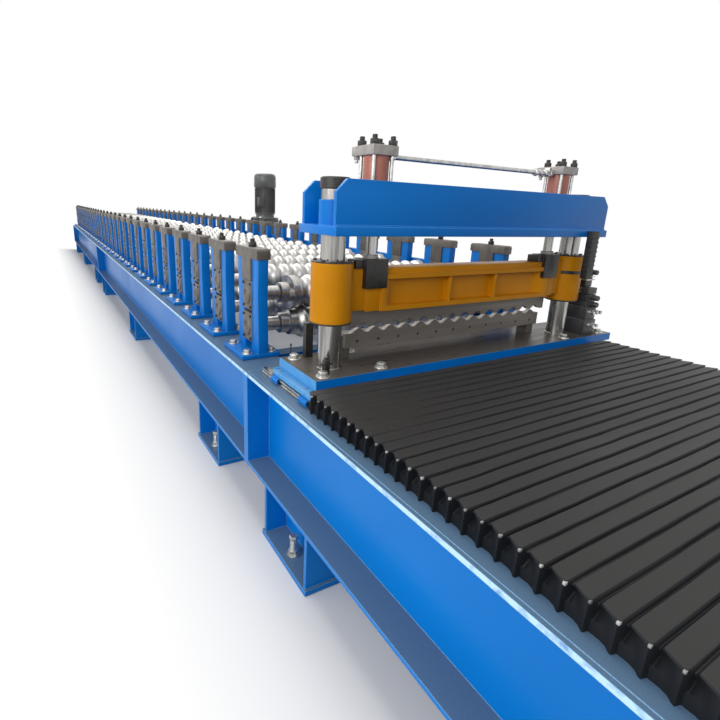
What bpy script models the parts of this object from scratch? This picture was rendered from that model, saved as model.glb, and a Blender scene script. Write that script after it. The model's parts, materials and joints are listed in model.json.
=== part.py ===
# Roll forming machine for corrugated sheet, with a flying hydraulic shear at its exit end.
# Units are metres, +Z is up and the floor is at zero.
# Sheet runs towards -Y: the entry end is at +Y and the shear end at -Y.
# The drive side is at +X. Heights are above the floor, and the machine's own
# lengthwise positions start at the exit end of the frame.

import math

import bmesh
import bpy
from mathutils import Matrix, Vector

# Frame of welded H-beams, in three bolted sections
SEAT_GAP = 0.0003
WELD = 0.001
FRAME_WIDTH = 1.722
BEAM_HEIGHT = 0.400
FLANGE_WIDTH = 0.200
FLANGE_THICK = 0.014
WEB_THICK = 0.010
LEG_HEIGHT = 0.230
LEG_LENGTH = 0.350
LEG_INSET = 0.580
BASE_PLATE_THICK = 0.020
BASE_PLATE_MARGIN = 0.010
LEVELLING_BOLT_RADIUS = 0.014
LEVELLING_BOLT_HEIGHT = 0.075
LEVELLING_BOLT_SHARE = 0.55
END_PLATE_THICK = 0.020
END_PLATE_LIP = 0.006
CROSS_TUBE_HEIGHT = 0.140
CROSS_TUBE_WIDTH = 0.090
EXIT_FRAME_LENGTH = 2.190
EXIT_LEG_INSETS = (0.560, 0.360)

# Roll stations
STATIONS_PER_SECTION = 15
STATION_PITCH = 0.415
FIRST_STATION_INSET = 0.250
TURNING_STATIONS = 3
STAND_INSET = 0.138
STAND_THICK = 0.046
STAND_WIDTH = 0.240
STAND_ABOVE_AXLE = 0.160
SLOT_WIDTH_TOP = 0.104
SLOT_WIDTH_FOOT = 0.080
WAIST_WIDTH = 0.226
WAIST_ABOVE_AXLE = 0.010
FOOT_WIDTH = 0.160
FOOT_LENGTH = 0.200
FOOT_THICK = 0.020
FOOT_MARGIN = 0.020
FOOT_OUTSET = 0.005
COLUMN_FOOT_RISE = 0.050
SLOT_FLARE_RISE = 0.100
SHOULDER_DROP = 0.060
CAP_HEIGHT = 0.044
CAP_THICK = 0.062
CAP_OVERHANG = 0.004
STEM_WIDTH = 0.100
SCREW_RADIUS = 0.012
SCREW_RISE = 0.034
BLOCK_THICK = 0.054
BLOCK_HEIGHT = 0.130
COVER_RADIUS = 0.026
COVER_THICK = 0.008
RUNNING_GAP = 0.0003

# Rolls: the lower one drives the sheet, the upper one mirrors it a pitch line above
PASS_RISE = 0.190
AXLE_DISTANCE = 0.140
WAVE_PITCH = 0.076
WAVE_DEPTH = 0.018
ROLL_END_ROOM = 0.640
SHAFT_RADIUS = 0.032
SPACER_RADIUS = 0.046
ROLL_CLEARANCE = 0.006
ROLL_LAND = 0.030
COLLAR_LENGTH = 0.045
JOURNAL_LENGTH = 0.024
JOURNAL_PLAY = 0.002
BORE_SIDES = 12
ROLL_SIDES = 8
BANK_ROLL_SIDES = 6

# Shear carriage on two linear rails
RAIL_WIDTH = 0.030
RAIL_HEIGHT = 0.022
RAIL_INSET = 0.070
RAIL_START = 0.120
RAIL_END_INSET = 0.040
RUNNER_WIDTH = 0.052
RUNNER_LENGTH = 0.100
RUNNER_SPACING = 0.190
RUNNER_LIFT = 0.006
CARRIAGE_DEPTH = 0.321
CARRIAGE_FORWARD = 0.149
CARRIAGE_THICK = 0.020
CARRIAGE_INSET = 0.041
CARRIAGE_RISE = 0.0235
SHEAR_INSET = 0.286
BED_DEPTH = 0.291
BED_FORWARD = 0.117
BED_THICK = 0.035
BED_INSET = 0.098
BED_OUTSET = 0.066

# Shear frame
COLUMN_RADIUS = 0.0425
COLUMN_INSET = 0.213
COLUMN_FOOT_RADIUS = 0.0465
COLUMN_FOOT_HEIGHT = 0.005
SHANK_RADIUS = 0.020
NUT_RADIUS = 0.050
NUT_HEIGHT = 0.038
SLEEVE_RADIUS = 0.0525
SLEEVE_HEIGHT = 0.113
TOP_BEAM_ABOVE_HEAD = 0.114
TOP_BEAM_HEIGHT = 0.173
TOP_BEAM_END = 0.062
TOP_BEAM_DEPTH = 0.226
TOP_BEAM_FLOOR = 0.030
TOP_BEAM_WALL = 0.015
TOP_BEAM_CHAMFER = 0.040
TOP_BEAM_LIP = 0.012
CYLINDER_INSET = 0.158
CYLINDER_CAP = 0.104
CYLINDER_CAP_THICK = 0.032
CYLINDER_REACH = 0.289
CYLINDER_RADIUS = 0.0435
BORE_SPARE = 0.090
TIE_ROD_RADIUS = 0.0075
TIE_ROD_INSET = 0.015
TIE_ROD_RISE = 0.035
ROD_RADIUS = 0.019
ROD_ENGAGEMENT = 0.080
ROD_HOLE_CLEARANCE = 0.003
ROD_COLLAR = (0.009, 0.012)
PIPE_RADIUS = 0.0085
PIPE_RISE = 0.002

# Head, blades and stroke
STROKE = 0.040
BUSHING_RADIUS = 0.0738
BUSHING_DROP = 0.042
BUSHING_HEIGHT = 0.216
HEAD_ABOVE_PASS = 0.098
HEAD_HEIGHT = 0.147
HEAD_DEPTH = 0.148
HEAD_FLANGE = 0.016
HEAD_WEB = 0.036
HEAD_RIB = 0.012
HEAD_CHEEK = 0.138
HEAD_TAPER = 0.070
HEAD_LIP_DROP = 0.018
HEAD_LIP_DEPTH = 0.040
HEAD_RIBS = 2
HEAD_PANEL = 0.256
HEAD_RIB_INSET = 0.006
CHEEK_INTO_BUSHING = 0.6
CLEVIS_WIDTH = 0.084
CLEVIS_HEIGHT = 0.066
CLEVIS_DEPTH = 0.100
CLEVIS_RISE = 0.032
BLADE_END = 0.021
BLADE_THICK = 0.020
BLADE_SETBACK = 0.043
BLADE_OPENING = 0.026
LOWER_BLADE_HEIGHT = 0.066
BLADE_OVERLAP_GAP = 0.0005
BLADE_STEPS = 4
BLADE_HOLES = 11
BLADE_HOLE_MARGIN = 0.0545
BLADE_HOLE_RADIUS = 0.0055
BLADE_HOLE_DROP = 0.043
HOLDER_POST_WIDTH = 0.036
HOLDER_DEPTH = 0.060
HOLDER_HEIGHT = 0.050
HOLDER_POST_OUTSET = 0.004

# Bellows over the exit frame
BELLOWS_INSET = 0.042
BELLOWS_HEIGHT = 0.065
BELLOWS_FOLD = 0.0433
BELLOWS_RIDGE = 0.008
BELLOWS_SKIRT = 0.010
BELLOWS_COVER = 0.020
BELLOWS_END_GAP = 0.050
END_BRACKET_THICK = 0.008

# Valve unit and cable duct on the carriage
VALVE_OUTSET = 0.079
VALVE_WIDTH = 0.088
VALVE_FRONT = 0.094
VALVE_DEPTH = 0.140
VALVE_HEIGHT = 0.290
DUCT_INSET = 0.056
DUCT_WIDTH = 0.045
DUCT_DEPTH = 0.030
DUCT_HANG = 0.179
DUCT_OVERLAP = 0.026

# Drive
DRIVE_OUTSET = 0.124
DRIVE_STATION = 10
GEARBOX_HEIGHT = 0.345
GEARBOX_RISE = 0.130
GEARBOX_WIDTH = 0.250
GEARBOX_LENGTH = 0.300
MOTOR_RADIUS = 0.130
MOTOR_FLANGE_RADIUS = 0.172
MOTOR_FLANGE_THICK = 0.018
MOTOR_BELL_HEIGHT = 0.040
MOTOR_BELL_RADIUS = 0.112
MOTOR_BODY_HEIGHT = 0.326
HOOD_RADIUS = 0.137
HOOD_HEIGHT = 0.165
HOOD_SHOULDER = (0.030, 0.035)
FIN_COUNT = 16
FIN_DEPTH = 0.012
FIN_SHARES = (0.45, 0.50, 0.95)
BRACKET_DROP = 0.200
BRACKET_FOOT = 0.020
BRACKET_LIP = 0.040
GUARD_RISE = 0.035
GUARD_ABOVE_AXLE = 0.055
GUARD_DEPTH = 0.075
GUARD_CHAMFER = 0.030
GUARD_END_REACH = 0.150
GUARD_FOOT_EVERY = 4
GUARD_FOOT_LENGTH = 0.060
GUARD_FOOT_INSET = 0.012

# Derived places
DECK = LEG_HEIGHT + BEAM_HEIGHT
SECTION_LENGTH = STATIONS_PER_SECTION * STATION_PITCH
BREAK_ONE = EXIT_FRAME_LENGTH
BREAK_TWO = BREAK_ONE + SECTION_LENGTH
MACHINE_LENGTH = BREAK_TWO + SECTION_LENGTH
STATIONS = 2 * STATIONS_PER_SECTION
BEAM_X = (FRAME_WIDTH - FLANGE_WIDTH) / 2
STAND_X = FRAME_WIDTH / 2 - STAND_INSET
WAVES = int((FRAME_WIDTH - ROLL_END_ROOM) / WAVE_PITCH)
PASS_HEIGHT = DECK + PASS_RISE
LOWER_AXLE = PASS_HEIGHT - AXLE_DISTANCE / 2
UPPER_AXLE = PASS_HEIGHT + AXLE_DISTANCE / 2
ROLL_RADIUS = (AXLE_DISTANCE - ROLL_CLEARANCE) / 2
FOOT_TOP = DECK + SEAT_GAP + FOOT_THICK
STAND_TOP = UPPER_AXLE + STAND_ABOVE_AXLE
WAIST = UPPER_AXLE + WAIST_ABOVE_AXLE
RAIL_TOP = DECK + SEAT_GAP + RAIL_HEIGHT
RAIL_X = FRAME_WIDTH / 2 - RAIL_INSET
RAIL_END = EXIT_FRAME_LENGTH - RAIL_END_INSET
SHEAR_Y = EXIT_FRAME_LENGTH - SHEAR_INSET
CARRIAGE_BOTTOM = DECK + CARRIAGE_RISE
CARRIAGE_TOP = CARRIAGE_BOTTOM + CARRIAGE_THICK
BED_BOTTOM = CARRIAGE_TOP + SEAT_GAP
BED_TOP = BED_BOTTOM + BED_THICK
CARRIAGE_FRONT = SHEAR_Y - CARRIAGE_FORWARD
BED_FRONT = SHEAR_Y - BED_FORWARD
COLUMN_X = FRAME_WIDTH / 2 - COLUMN_INSET
CYLINDER_X = COLUMN_X - CYLINDER_INSET
HEAD_BOTTOM = PASS_HEIGHT + HEAD_ABOVE_PASS
HEAD_TOP = HEAD_BOTTOM + HEAD_HEIGHT
BUSHING_BOTTOM = HEAD_BOTTOM - BUSHING_DROP
TOP_BEAM_BOTTOM = HEAD_TOP + TOP_BEAM_ABOVE_HEAD
TOP_BEAM_TOP = TOP_BEAM_BOTTOM + TOP_BEAM_HEIGHT
TOP_BEAM_HALF = COLUMN_X + TOP_BEAM_END
CYLINDER_CAP_TOP = TOP_BEAM_BOTTOM + CYLINDER_REACH
BLADE_PLANE = SHEAR_Y + BLADE_SETBACK
BLADE_HALF = WAVES * WAVE_PITCH / 2 + BLADE_END
BELLOWS_HALF = FRAME_WIDTH / 2 - BELLOWS_INSET
DRIVE_X = FRAME_WIDTH / 2 + DRIVE_OUTSET
DRIVE_Y = BREAK_ONE + FIRST_STATION_INSET + (DRIVE_STATION - 0.5) * STATION_PITCH
GEARBOX_BOTTOM = DECK + GEARBOX_RISE
GEARBOX_TOP = GEARBOX_BOTTOM + GEARBOX_HEIGHT
GUARD_BOTTOM = DECK + GUARD_RISE
GUARD_TOP = UPPER_AXLE + GUARD_ABOVE_AXLE
GUARD_X = STAND_X + BLOCK_THICK / 2 + COVER_THICK + SEAT_GAP
MOTOR_BOTTOM = GEARBOX_TOP + SEAT_GAP

# The bounding box is centred on the origin, so the centre line moves over by
# half of what the motor flange stands out past the far beam.
CENTRE_SHIFT_X = -(DRIVE_X + MOTOR_FLANGE_RADIUS - FRAME_WIDTH / 2) / 2
CENTRE_SHIFT_Y = -MACHINE_LENGTH / 2


def clear_scene():
    for item in list(bpy.data.objects):
        bpy.data.objects.remove(item, do_unlink=True)


def make_material(name, colour, roughness, metallic=0.0):
    material = bpy.data.materials.new(name)
    material.use_nodes = True
    shader = material.node_tree.nodes["Principled BSDF"]
    shader.inputs["Base Color"].default_value = (*colour, 1.0)
    shader.inputs["Roughness"].default_value = roughness
    shader.inputs["Metallic"].default_value = metallic
    return material


def link_mesh(name, mesh):
    item = bpy.data.objects.new(name, mesh)
    bpy.context.scene.collection.objects.link(item)
    return item


def solid(build):
    """Make an object from a function that fills an empty bmesh."""
    shape = bmesh.new()
    build(shape)
    bmesh.ops.recalc_face_normals(shape, faces=shape.faces)
    mesh = bpy.data.meshes.new("piece")
    shape.to_mesh(mesh)
    shape.free()
    return link_mesh("piece", mesh)


def box(x_range, y_range, z_range):
    def build(shape):
        bmesh.ops.create_cube(shape, size=1.0)
        for vert in shape.verts:
            vert.co = (x_range[vert.co.x > 0], y_range[vert.co.y > 0], z_range[vert.co.z > 0])
    return solid(build)


def extrusion(outline, axis, start, end):
    """Extrude a flat outline along x, y or z. The outline's pairs are the two other axes in order."""
    def point(pair, along):
        if axis == "x":
            return Vector((along, pair[0], pair[1]))
        if axis == "y":
            return Vector((pair[0], along, pair[1]))
        return Vector((pair[0], pair[1], along))

    def build(shape):
        ring = [shape.verts.new(point(pair, start)) for pair in outline]
        face = shape.faces.new(ring)
        grown = bmesh.ops.extrude_face_region(shape, geom=[face])
        moved = [item for item in grown["geom"] if isinstance(item, bmesh.types.BMVert)]
        bmesh.ops.translate(shape, verts=moved, vec=point((0, 0), end - start))
    return solid(build)


def turned(profile, axis, centre, sides, turn=0.0):
    """Spin (radius, height) pairs round an axis through centre, closing both ends on the axis."""
    def build(shape):
        rings = []
        for radius, height in profile:
            ring = []
            for step in range(sides):
                angle = 2 * math.pi * step / sides + turn
                ring.append(shape.verts.new((radius * math.cos(angle), radius * math.sin(angle), height)))
            rings.append(ring)
        for lower, upper in zip(rings, rings[1:]):
            for step in range(sides):
                after = (step + 1) % sides
                shape.faces.new((lower[step], lower[after], upper[after], upper[step]))
        shape.faces.new(rings[0][::-1])
        shape.faces.new(rings[-1])
        bmesh.ops.transform(shape, matrix=axis_matrix(axis, centre), verts=shape.verts)
    return solid(build)


def axis_matrix(axis, centre):
    turn = Matrix.Identity(4)
    if axis == "x":
        turn = Matrix.Rotation(math.pi / 2, 4, "Y")
    if axis == "y":
        turn = Matrix.Rotation(-math.pi / 2, 4, "X")
    return Matrix.Translation(Vector(centre)) @ turn


def rod(axis, centre, radius, start, end, sides=12):
    return turned([(radius, start), (radius, end)], axis, centre, sides)


def evaluated_mesh(item):
    bpy.context.view_layer.update()
    graph = bpy.context.evaluated_depsgraph_get()
    return bpy.data.meshes.new_from_object(item.evaluated_get(graph))


def drop(items):
    for item in items:
        bpy.data.objects.remove(item, do_unlink=True)


def combine(base, others, operation):
    """Apply one exact Boolean of base with a group of solids, and return the result."""
    group = bpy.data.collections.new("operands")
    for item in others:
        group.objects.link(item)
    bpy.context.scene.collection.children.link(group)
    change = base.modifiers.new("combine", "BOOLEAN")
    change.operation = operation
    change.solver = "EXACT"
    change.operand_type = "COLLECTION"
    change.collection = group
    result = link_mesh("piece", evaluated_mesh(base))
    drop([base, *others])
    bpy.data.collections.remove(group)
    return result


def fuse(pieces):
    return combine(pieces[0], pieces[1:], "UNION") if len(pieces) > 1 else pieces[0]


def cut(item, cutters):
    return combine(item, cutters, "DIFFERENCE")


def finish(item, name, material, parent, origin=(0.0, 0.0, 0.0), round_angle=None):
    """Name a piece, give it its material, and put its origin on its joint's axis."""
    mesh = item.data
    mesh.transform(Matrix.Translation(-Vector(origin)))
    mesh.materials.clear()
    mesh.materials.append(material)
    item.name = name
    mesh.name = name
    item.location = origin
    item.parent = parent
    if round_angle is not None:
        mesh.shade_smooth()
        mesh.set_sharp_from_angle(angle=math.radians(round_angle))
    return item


def station_y(number):
    """Lengthwise place of a station, counted from 1 at the exit."""
    section = (number - 1) // STATIONS_PER_SECTION
    place = (number - 1) % STATIONS_PER_SECTION
    return BREAK_ONE + section * SECTION_LENGTH + FIRST_STATION_INSET + place * STATION_PITCH


def waves_at(number):
    """Waves are formed from the middle outwards, so their count grows from entry to exit."""
    return 0 if number > TURNING_STATIONS else WAVES


def h_outline(centre, bottom, width, height):
    """Outline of an H-section standing with its web upright."""
    half = width / 2
    web = WEB_THICK / 2
    low = bottom + FLANGE_THICK
    high = bottom + height - FLANGE_THICK
    top = bottom + height
    return [
        (centre - half, bottom), (centre + half, bottom), (centre + half, low), (centre + web, low),
        (centre + web, high), (centre + half, high), (centre + half, top), (centre - half, top),
        (centre - half, high), (centre - web, high), (centre - web, low), (centre - half, low),
    ]


def leg_pieces(centre_y, side):
    """One stub of the same H-section stood on end, with its base plate and levelling bolt."""
    x = side * BEAM_X
    half = LEG_LENGTH / 2
    web = WEB_THICK / 2
    reach = FLANGE_WIDTH / 2 - END_PLATE_LIP
    front = centre_y - half
    back = centre_y + half
    outline = [
        (x - reach, front), (x + reach, front), (x + reach, front + FLANGE_THICK),
        (x + web, front + FLANGE_THICK), (x + web, back - FLANGE_THICK), (x + reach, back - FLANGE_THICK),
        (x + reach, back), (x - reach, back), (x - reach, back - FLANGE_THICK),
        (x - web, back - FLANGE_THICK), (x - web, front + FLANGE_THICK), (x - reach, front + FLANGE_THICK),
    ]
    bolt_x = x + side * reach * LEVELLING_BOLT_SHARE
    return [
        extrusion(outline, "z", BASE_PLATE_THICK - WELD, LEG_HEIGHT + WELD),
        box((x - FLANGE_WIDTH / 2, x + FLANGE_WIDTH / 2),
            (front - BASE_PLATE_MARGIN, back + BASE_PLATE_MARGIN), (0.0, BASE_PLATE_THICK)),
        turned([(LEVELLING_BOLT_RADIUS, 0.0), (LEVELLING_BOLT_RADIUS, LEVELLING_BOLT_HEIGHT)],
               "z", (bolt_x, centre_y, BASE_PLATE_THICK - WELD), 6),
    ]


def frame_section(start, end, leg_places):
    """Two H-beams with end plates, cross tubes and legs."""
    pieces = []
    first = start + SEAT_GAP
    last = end - SEAT_GAP
    for side in (-1, 1):
        x = side * BEAM_X
        outline = h_outline(x, LEG_HEIGHT, FLANGE_WIDTH, BEAM_HEIGHT)
        pieces.append(extrusion(outline, "y", first + END_PLATE_THICK - WELD, last - END_PLATE_THICK + WELD))
        half = FLANGE_WIDTH / 2
        for low, high in ((first, first + END_PLATE_THICK), (last - END_PLATE_THICK, last)):
            pieces.append(box((x - half, x + half), (low, high), (LEG_HEIGHT - END_PLATE_LIP, DECK)))
        for place in leg_places:
            pieces.extend(leg_pieces(place, side))
    inside = BEAM_X - WEB_THICK / 2 + WELD
    middle = LEG_HEIGHT + BEAM_HEIGHT / 2
    for place in leg_places:
        pieces.append(box((-inside, inside),
                          (place - CROSS_TUBE_WIDTH / 2, place + CROSS_TUBE_WIDTH / 2),
                          (middle - CROSS_TUBE_HEIGHT / 2, middle + CROSS_TUBE_HEIGHT / 2)))
    return pieces


def column_outline(side):
    """One column of a stand: upright outside edge, inside edge flared towards the foot."""
    outer = STAND_WIDTH / 2
    base = FOOT_TOP - WELD
    return [
        (side * outer, base), (side * outer, base + COLUMN_FOOT_RISE),
        (side * WAIST_WIDTH / 2, WAIST), (side * outer, STAND_TOP - SHOULDER_DROP),
        (side * outer, STAND_TOP),
        (side * SLOT_WIDTH_TOP / 2, STAND_TOP), (side * SLOT_WIDTH_TOP / 2, WAIST),
        (side * SLOT_WIDTH_FOOT / 2, base + SLOT_FLARE_RISE), (side * SLOT_WIDTH_FOOT / 2, base),
    ]


def shifted(outline, along):
    return [(first + along, second) for first, second in outline]


def stand_solids(x, y, outside):
    """A full stand: foot plate, two columns, capped slot, screw and the two bearing blocks."""
    half = STAND_THICK / 2
    foot_x = x + outside * FOOT_OUTSET
    foot_half = FOOT_LENGTH / 2 + FOOT_MARGIN
    pieces = [box((foot_x - FOOT_WIDTH / 2, foot_x + FOOT_WIDTH / 2),
                  (y - foot_half, y + foot_half), (DECK + SEAT_GAP, FOOT_TOP))]
    for side in (-1, 1):
        pieces.append(extrusion(shifted(column_outline(side), y), "x", x - half, x + half))
    cap_half = STAND_WIDTH / 2 + CAP_OVERHANG
    stem = STEM_WIDTH / 2
    stem_bottom = UPPER_AXLE + BLOCK_HEIGHT / 2 - WELD
    cap = [(-cap_half, STAND_TOP - WELD), (-stem, STAND_TOP - WELD), (-stem, stem_bottom), (stem, stem_bottom),
           (stem, STAND_TOP - WELD), (cap_half, STAND_TOP - WELD), (cap_half, STAND_TOP + CAP_HEIGHT),
           (-cap_half, STAND_TOP + CAP_HEIGHT)]
    pieces.append(extrusion(shifted(cap, y), "x", x - CAP_THICK / 2, x + CAP_THICK / 2))
    pieces.append(rod("z", (x, y, STAND_TOP + CAP_HEIGHT), SCREW_RADIUS, -WELD, SCREW_RISE, 8))
    return pieces


def block_solids(x, y, outside):
    """Upper and lower bearing blocks with their round covers, bridging the slot between the columns."""
    pieces = []
    half = BLOCK_THICK / 2
    reach = SLOT_WIDTH_TOP / 2 + WELD
    for axle in (UPPER_AXLE, LOWER_AXLE):
        pieces.append(box((x - half, x + half), (y - reach, y + reach),
                          (axle - BLOCK_HEIGHT / 2, axle + BLOCK_HEIGHT / 2)))
        start = half - WELD
        end = half + COVER_THICK
        low, high = (start, end) if outside > 0 else (-end, -start)
        pieces.append(rod("x", (x, y, axle), COVER_RADIUS, low, high, 10))
    return pieces


def plain_stand(x, y, base):
    """A stand of the fixed stations: foot, waisted body and cap as one outline."""
    half_foot = FOOT_LENGTH / 2 + FOOT_MARGIN
    half = STAND_WIDTH / 2
    waist = WAIST_WIDTH / 2
    cap = half + CAP_OVERHANG
    top = STAND_TOP + CAP_HEIGHT
    right = [(half_foot, base), (half_foot, FOOT_TOP), (waist, FOOT_TOP), (half, STAND_TOP),
             (cap, STAND_TOP), (cap, top)]
    left = [(-along, height) for along, height in reversed(right)]
    return extrusion(shifted(right + left, y), "x", x - STAND_THICK / 2, x + STAND_THICK / 2)


def roll_profile(waves, lower, reach):
    """Radius against length for a roll whose formed waves sit in the middle of a plain drum."""
    swing = WAVE_DEPTH / 2
    sign = 1 if lower else -1
    drum = ROLL_RADIUS - sign * swing
    half_waves = waves * WAVE_PITCH / 2
    half_drum = WAVES * WAVE_PITCH / 2 + ROLL_LAND
    if waves == 0:
        return [(SHAFT_RADIUS, -reach), (SHAFT_RADIUS, -half_drum), (drum, -half_drum),
                (drum, half_drum), (SHAFT_RADIUS, half_drum), (SHAFT_RADIUS, reach)]
    points = [(SHAFT_RADIUS, -reach), (SHAFT_RADIUS, -half_drum - COLLAR_LENGTH),
              (SPACER_RADIUS, -half_drum - COLLAR_LENGTH), (SPACER_RADIUS, -half_drum), (drum, -half_drum)]
    for step in range(2 * waves + 1):
        crest = step % 2 == 1
        radius = ROLL_RADIUS + sign * (swing if crest else -swing)
        points.append((radius, -half_waves + step * WAVE_PITCH / 2))
    tail = [(radius, -length) for radius, length in reversed(points[:5])]
    return points + tail


def roll_solid(number, lower, reach, sides):
    axle = LOWER_AXLE if lower else UPPER_AXLE
    profile = roll_profile(waves_at(number), lower, reach)
    return turned(profile, "x", (0.0, station_y(number), axle), sides, math.pi / sides)


def carriage_plate():
    half = FRAME_WIDTH / 2 - CARRIAGE_INSET
    pieces = [box((-half, half),
                  (CARRIAGE_FRONT, CARRIAGE_FRONT + CARRIAGE_DEPTH), (CARRIAGE_BOTTOM, CARRIAGE_TOP))]
    groove = RAIL_WIDTH / 2 + RUNNING_GAP
    skirt = DECK + RUNNER_LIFT
    for side in (-1, 1):
        x = side * RAIL_X
        outline = [(x - RUNNER_WIDTH / 2, skirt), (x - groove, skirt), (x - groove, RAIL_TOP + RUNNING_GAP),
                   (x + groove, RAIL_TOP + RUNNING_GAP), (x + groove, skirt), (x + RUNNER_WIDTH / 2, skirt),
                   (x + RUNNER_WIDTH / 2, CARRIAGE_BOTTOM + WELD), (x - RUNNER_WIDTH / 2, CARRIAGE_BOTTOM + WELD)]
        for place in (SHEAR_Y - RUNNER_SPACING / 2, SHEAR_Y + RUNNER_SPACING / 2):
            pieces.append(extrusion(outline, "y", place - RUNNER_LENGTH / 2, place + RUNNER_LENGTH / 2))
    return fuse(pieces)


def column(x):
    shoulder = TOP_BEAM_BOTTOM - SEAT_GAP
    nut_bottom = TOP_BEAM_BOTTOM + TOP_BEAM_FLOOR + SLEEVE_HEIGHT + SEAT_GAP
    base = BED_TOP + SEAT_GAP
    profile = [(COLUMN_FOOT_RADIUS, base), (COLUMN_FOOT_RADIUS, base + COLUMN_FOOT_HEIGHT),
               (COLUMN_RADIUS, base + COLUMN_FOOT_HEIGHT), (COLUMN_RADIUS, shoulder),
               (SHANK_RADIUS, shoulder), (SHANK_RADIUS, nut_bottom), (NUT_RADIUS, nut_bottom),
               (NUT_RADIUS, nut_bottom + NUT_HEIGHT)]
    return turned(profile, "z", (x, SHEAR_Y, 0.0), 16)


def trough_wall(front, back):
    half = TOP_BEAM_HALF
    chamfer = TOP_BEAM_CHAMFER
    bottom = TOP_BEAM_BOTTOM + TOP_BEAM_FLOOR - WELD
    outline = [(-half, bottom), (half, bottom), (half, TOP_BEAM_TOP - chamfer), (half - chamfer, TOP_BEAM_TOP),
               (-half + chamfer, TOP_BEAM_TOP), (-half, TOP_BEAM_TOP - chamfer)]
    return extrusion(outline, "y", front, back)


def top_beam():
    front = SHEAR_Y - TOP_BEAM_DEPTH / 2
    back = SHEAR_Y + TOP_BEAM_DEPTH / 2
    half = TOP_BEAM_HALF
    floor = box((-half - TOP_BEAM_LIP, half + TOP_BEAM_LIP), (front - TOP_BEAM_LIP, back + TOP_BEAM_LIP),
                (TOP_BEAM_BOTTOM, TOP_BEAM_BOTTOM + TOP_BEAM_FLOOR))
    pieces = [floor, trough_wall(front, front + TOP_BEAM_WALL), trough_wall(back - TOP_BEAM_WALL, back)]
    floor_top = TOP_BEAM_BOTTOM + TOP_BEAM_FLOOR
    for side in (-1, 1):
        pieces.append(rod("z", (side * COLUMN_X, SHEAR_Y, floor_top), SLEEVE_RADIUS, -WELD, SLEEVE_HEIGHT, 12))
    holes = []
    for side in (-1, 1):
        holes.append(rod("z", (side * COLUMN_X, SHEAR_Y, TOP_BEAM_BOTTOM), SHANK_RADIUS + SEAT_GAP,
                         -WELD, TOP_BEAM_FLOOR + SLEEVE_HEIGHT + WELD, 16))
        holes.append(rod("z", (side * CYLINDER_X, SHEAR_Y, TOP_BEAM_BOTTOM), ROD_RADIUS + ROD_HOLE_CLEARANCE,
                         -WELD, TOP_BEAM_FLOOR + WELD, 12))
    return cut(fuse(pieces), holes)


def cylinder(x):
    """Tie-rod hydraulic cylinder: two square caps, a barrel between them and four tie rods."""
    base = TOP_BEAM_BOTTOM + TOP_BEAM_FLOOR + SEAT_GAP
    half = CYLINDER_CAP / 2
    upper = CYLINDER_CAP_TOP - CYLINDER_CAP_THICK
    lower = base + CYLINDER_CAP_THICK
    pieces = [box((x - half, x + half), (SHEAR_Y - half, SHEAR_Y + half), (base, lower)),
              box((x - half, x + half), (SHEAR_Y - half, SHEAR_Y + half), (upper, CYLINDER_CAP_TOP)),
              rod("z", (x, SHEAR_Y, 0.0), CYLINDER_RADIUS, lower - WELD, upper + WELD, 16)]
    inset = half - TIE_ROD_INSET
    for dx in (-inset, inset):
        for dy in (-inset, inset):
            pieces.append(rod("z", (x + dx, SHEAR_Y + dy, 0.0), TIE_ROD_RADIUS,
                              lower - WELD, CYLINDER_CAP_TOP + TIE_ROD_RISE, 6))
    bore = rod("z", (x, SHEAR_Y, 0.0), ROD_RADIUS + RUNNING_GAP, base - WELD, base + STROKE + BORE_SPARE, 12)
    return cut(fuse(pieces), [bore])


def head_outline():
    """Section of the head between its cheeks: bottom flange, web, front lip and the higher bar behind it."""
    half = HEAD_DEPTH / 2
    web = HEAD_WEB / 2
    low = HEAD_BOTTOM + HEAD_FLANGE
    lip = HEAD_TOP - HEAD_LIP_DROP
    high = lip - HEAD_FLANGE
    step = SHEAR_Y - half + HEAD_LIP_DEPTH
    middle = SHEAR_Y
    return [(middle - half, HEAD_BOTTOM), (middle + half, HEAD_BOTTOM), (middle + half, low), (middle + web, low),
            (middle + web, high), (middle + half, high), (middle + half, HEAD_TOP), (step, HEAD_TOP),
            (step, lip), (middle - half, lip), (middle - half, high), (middle - web, high),
            (middle - web, low), (middle - half, low)]


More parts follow.
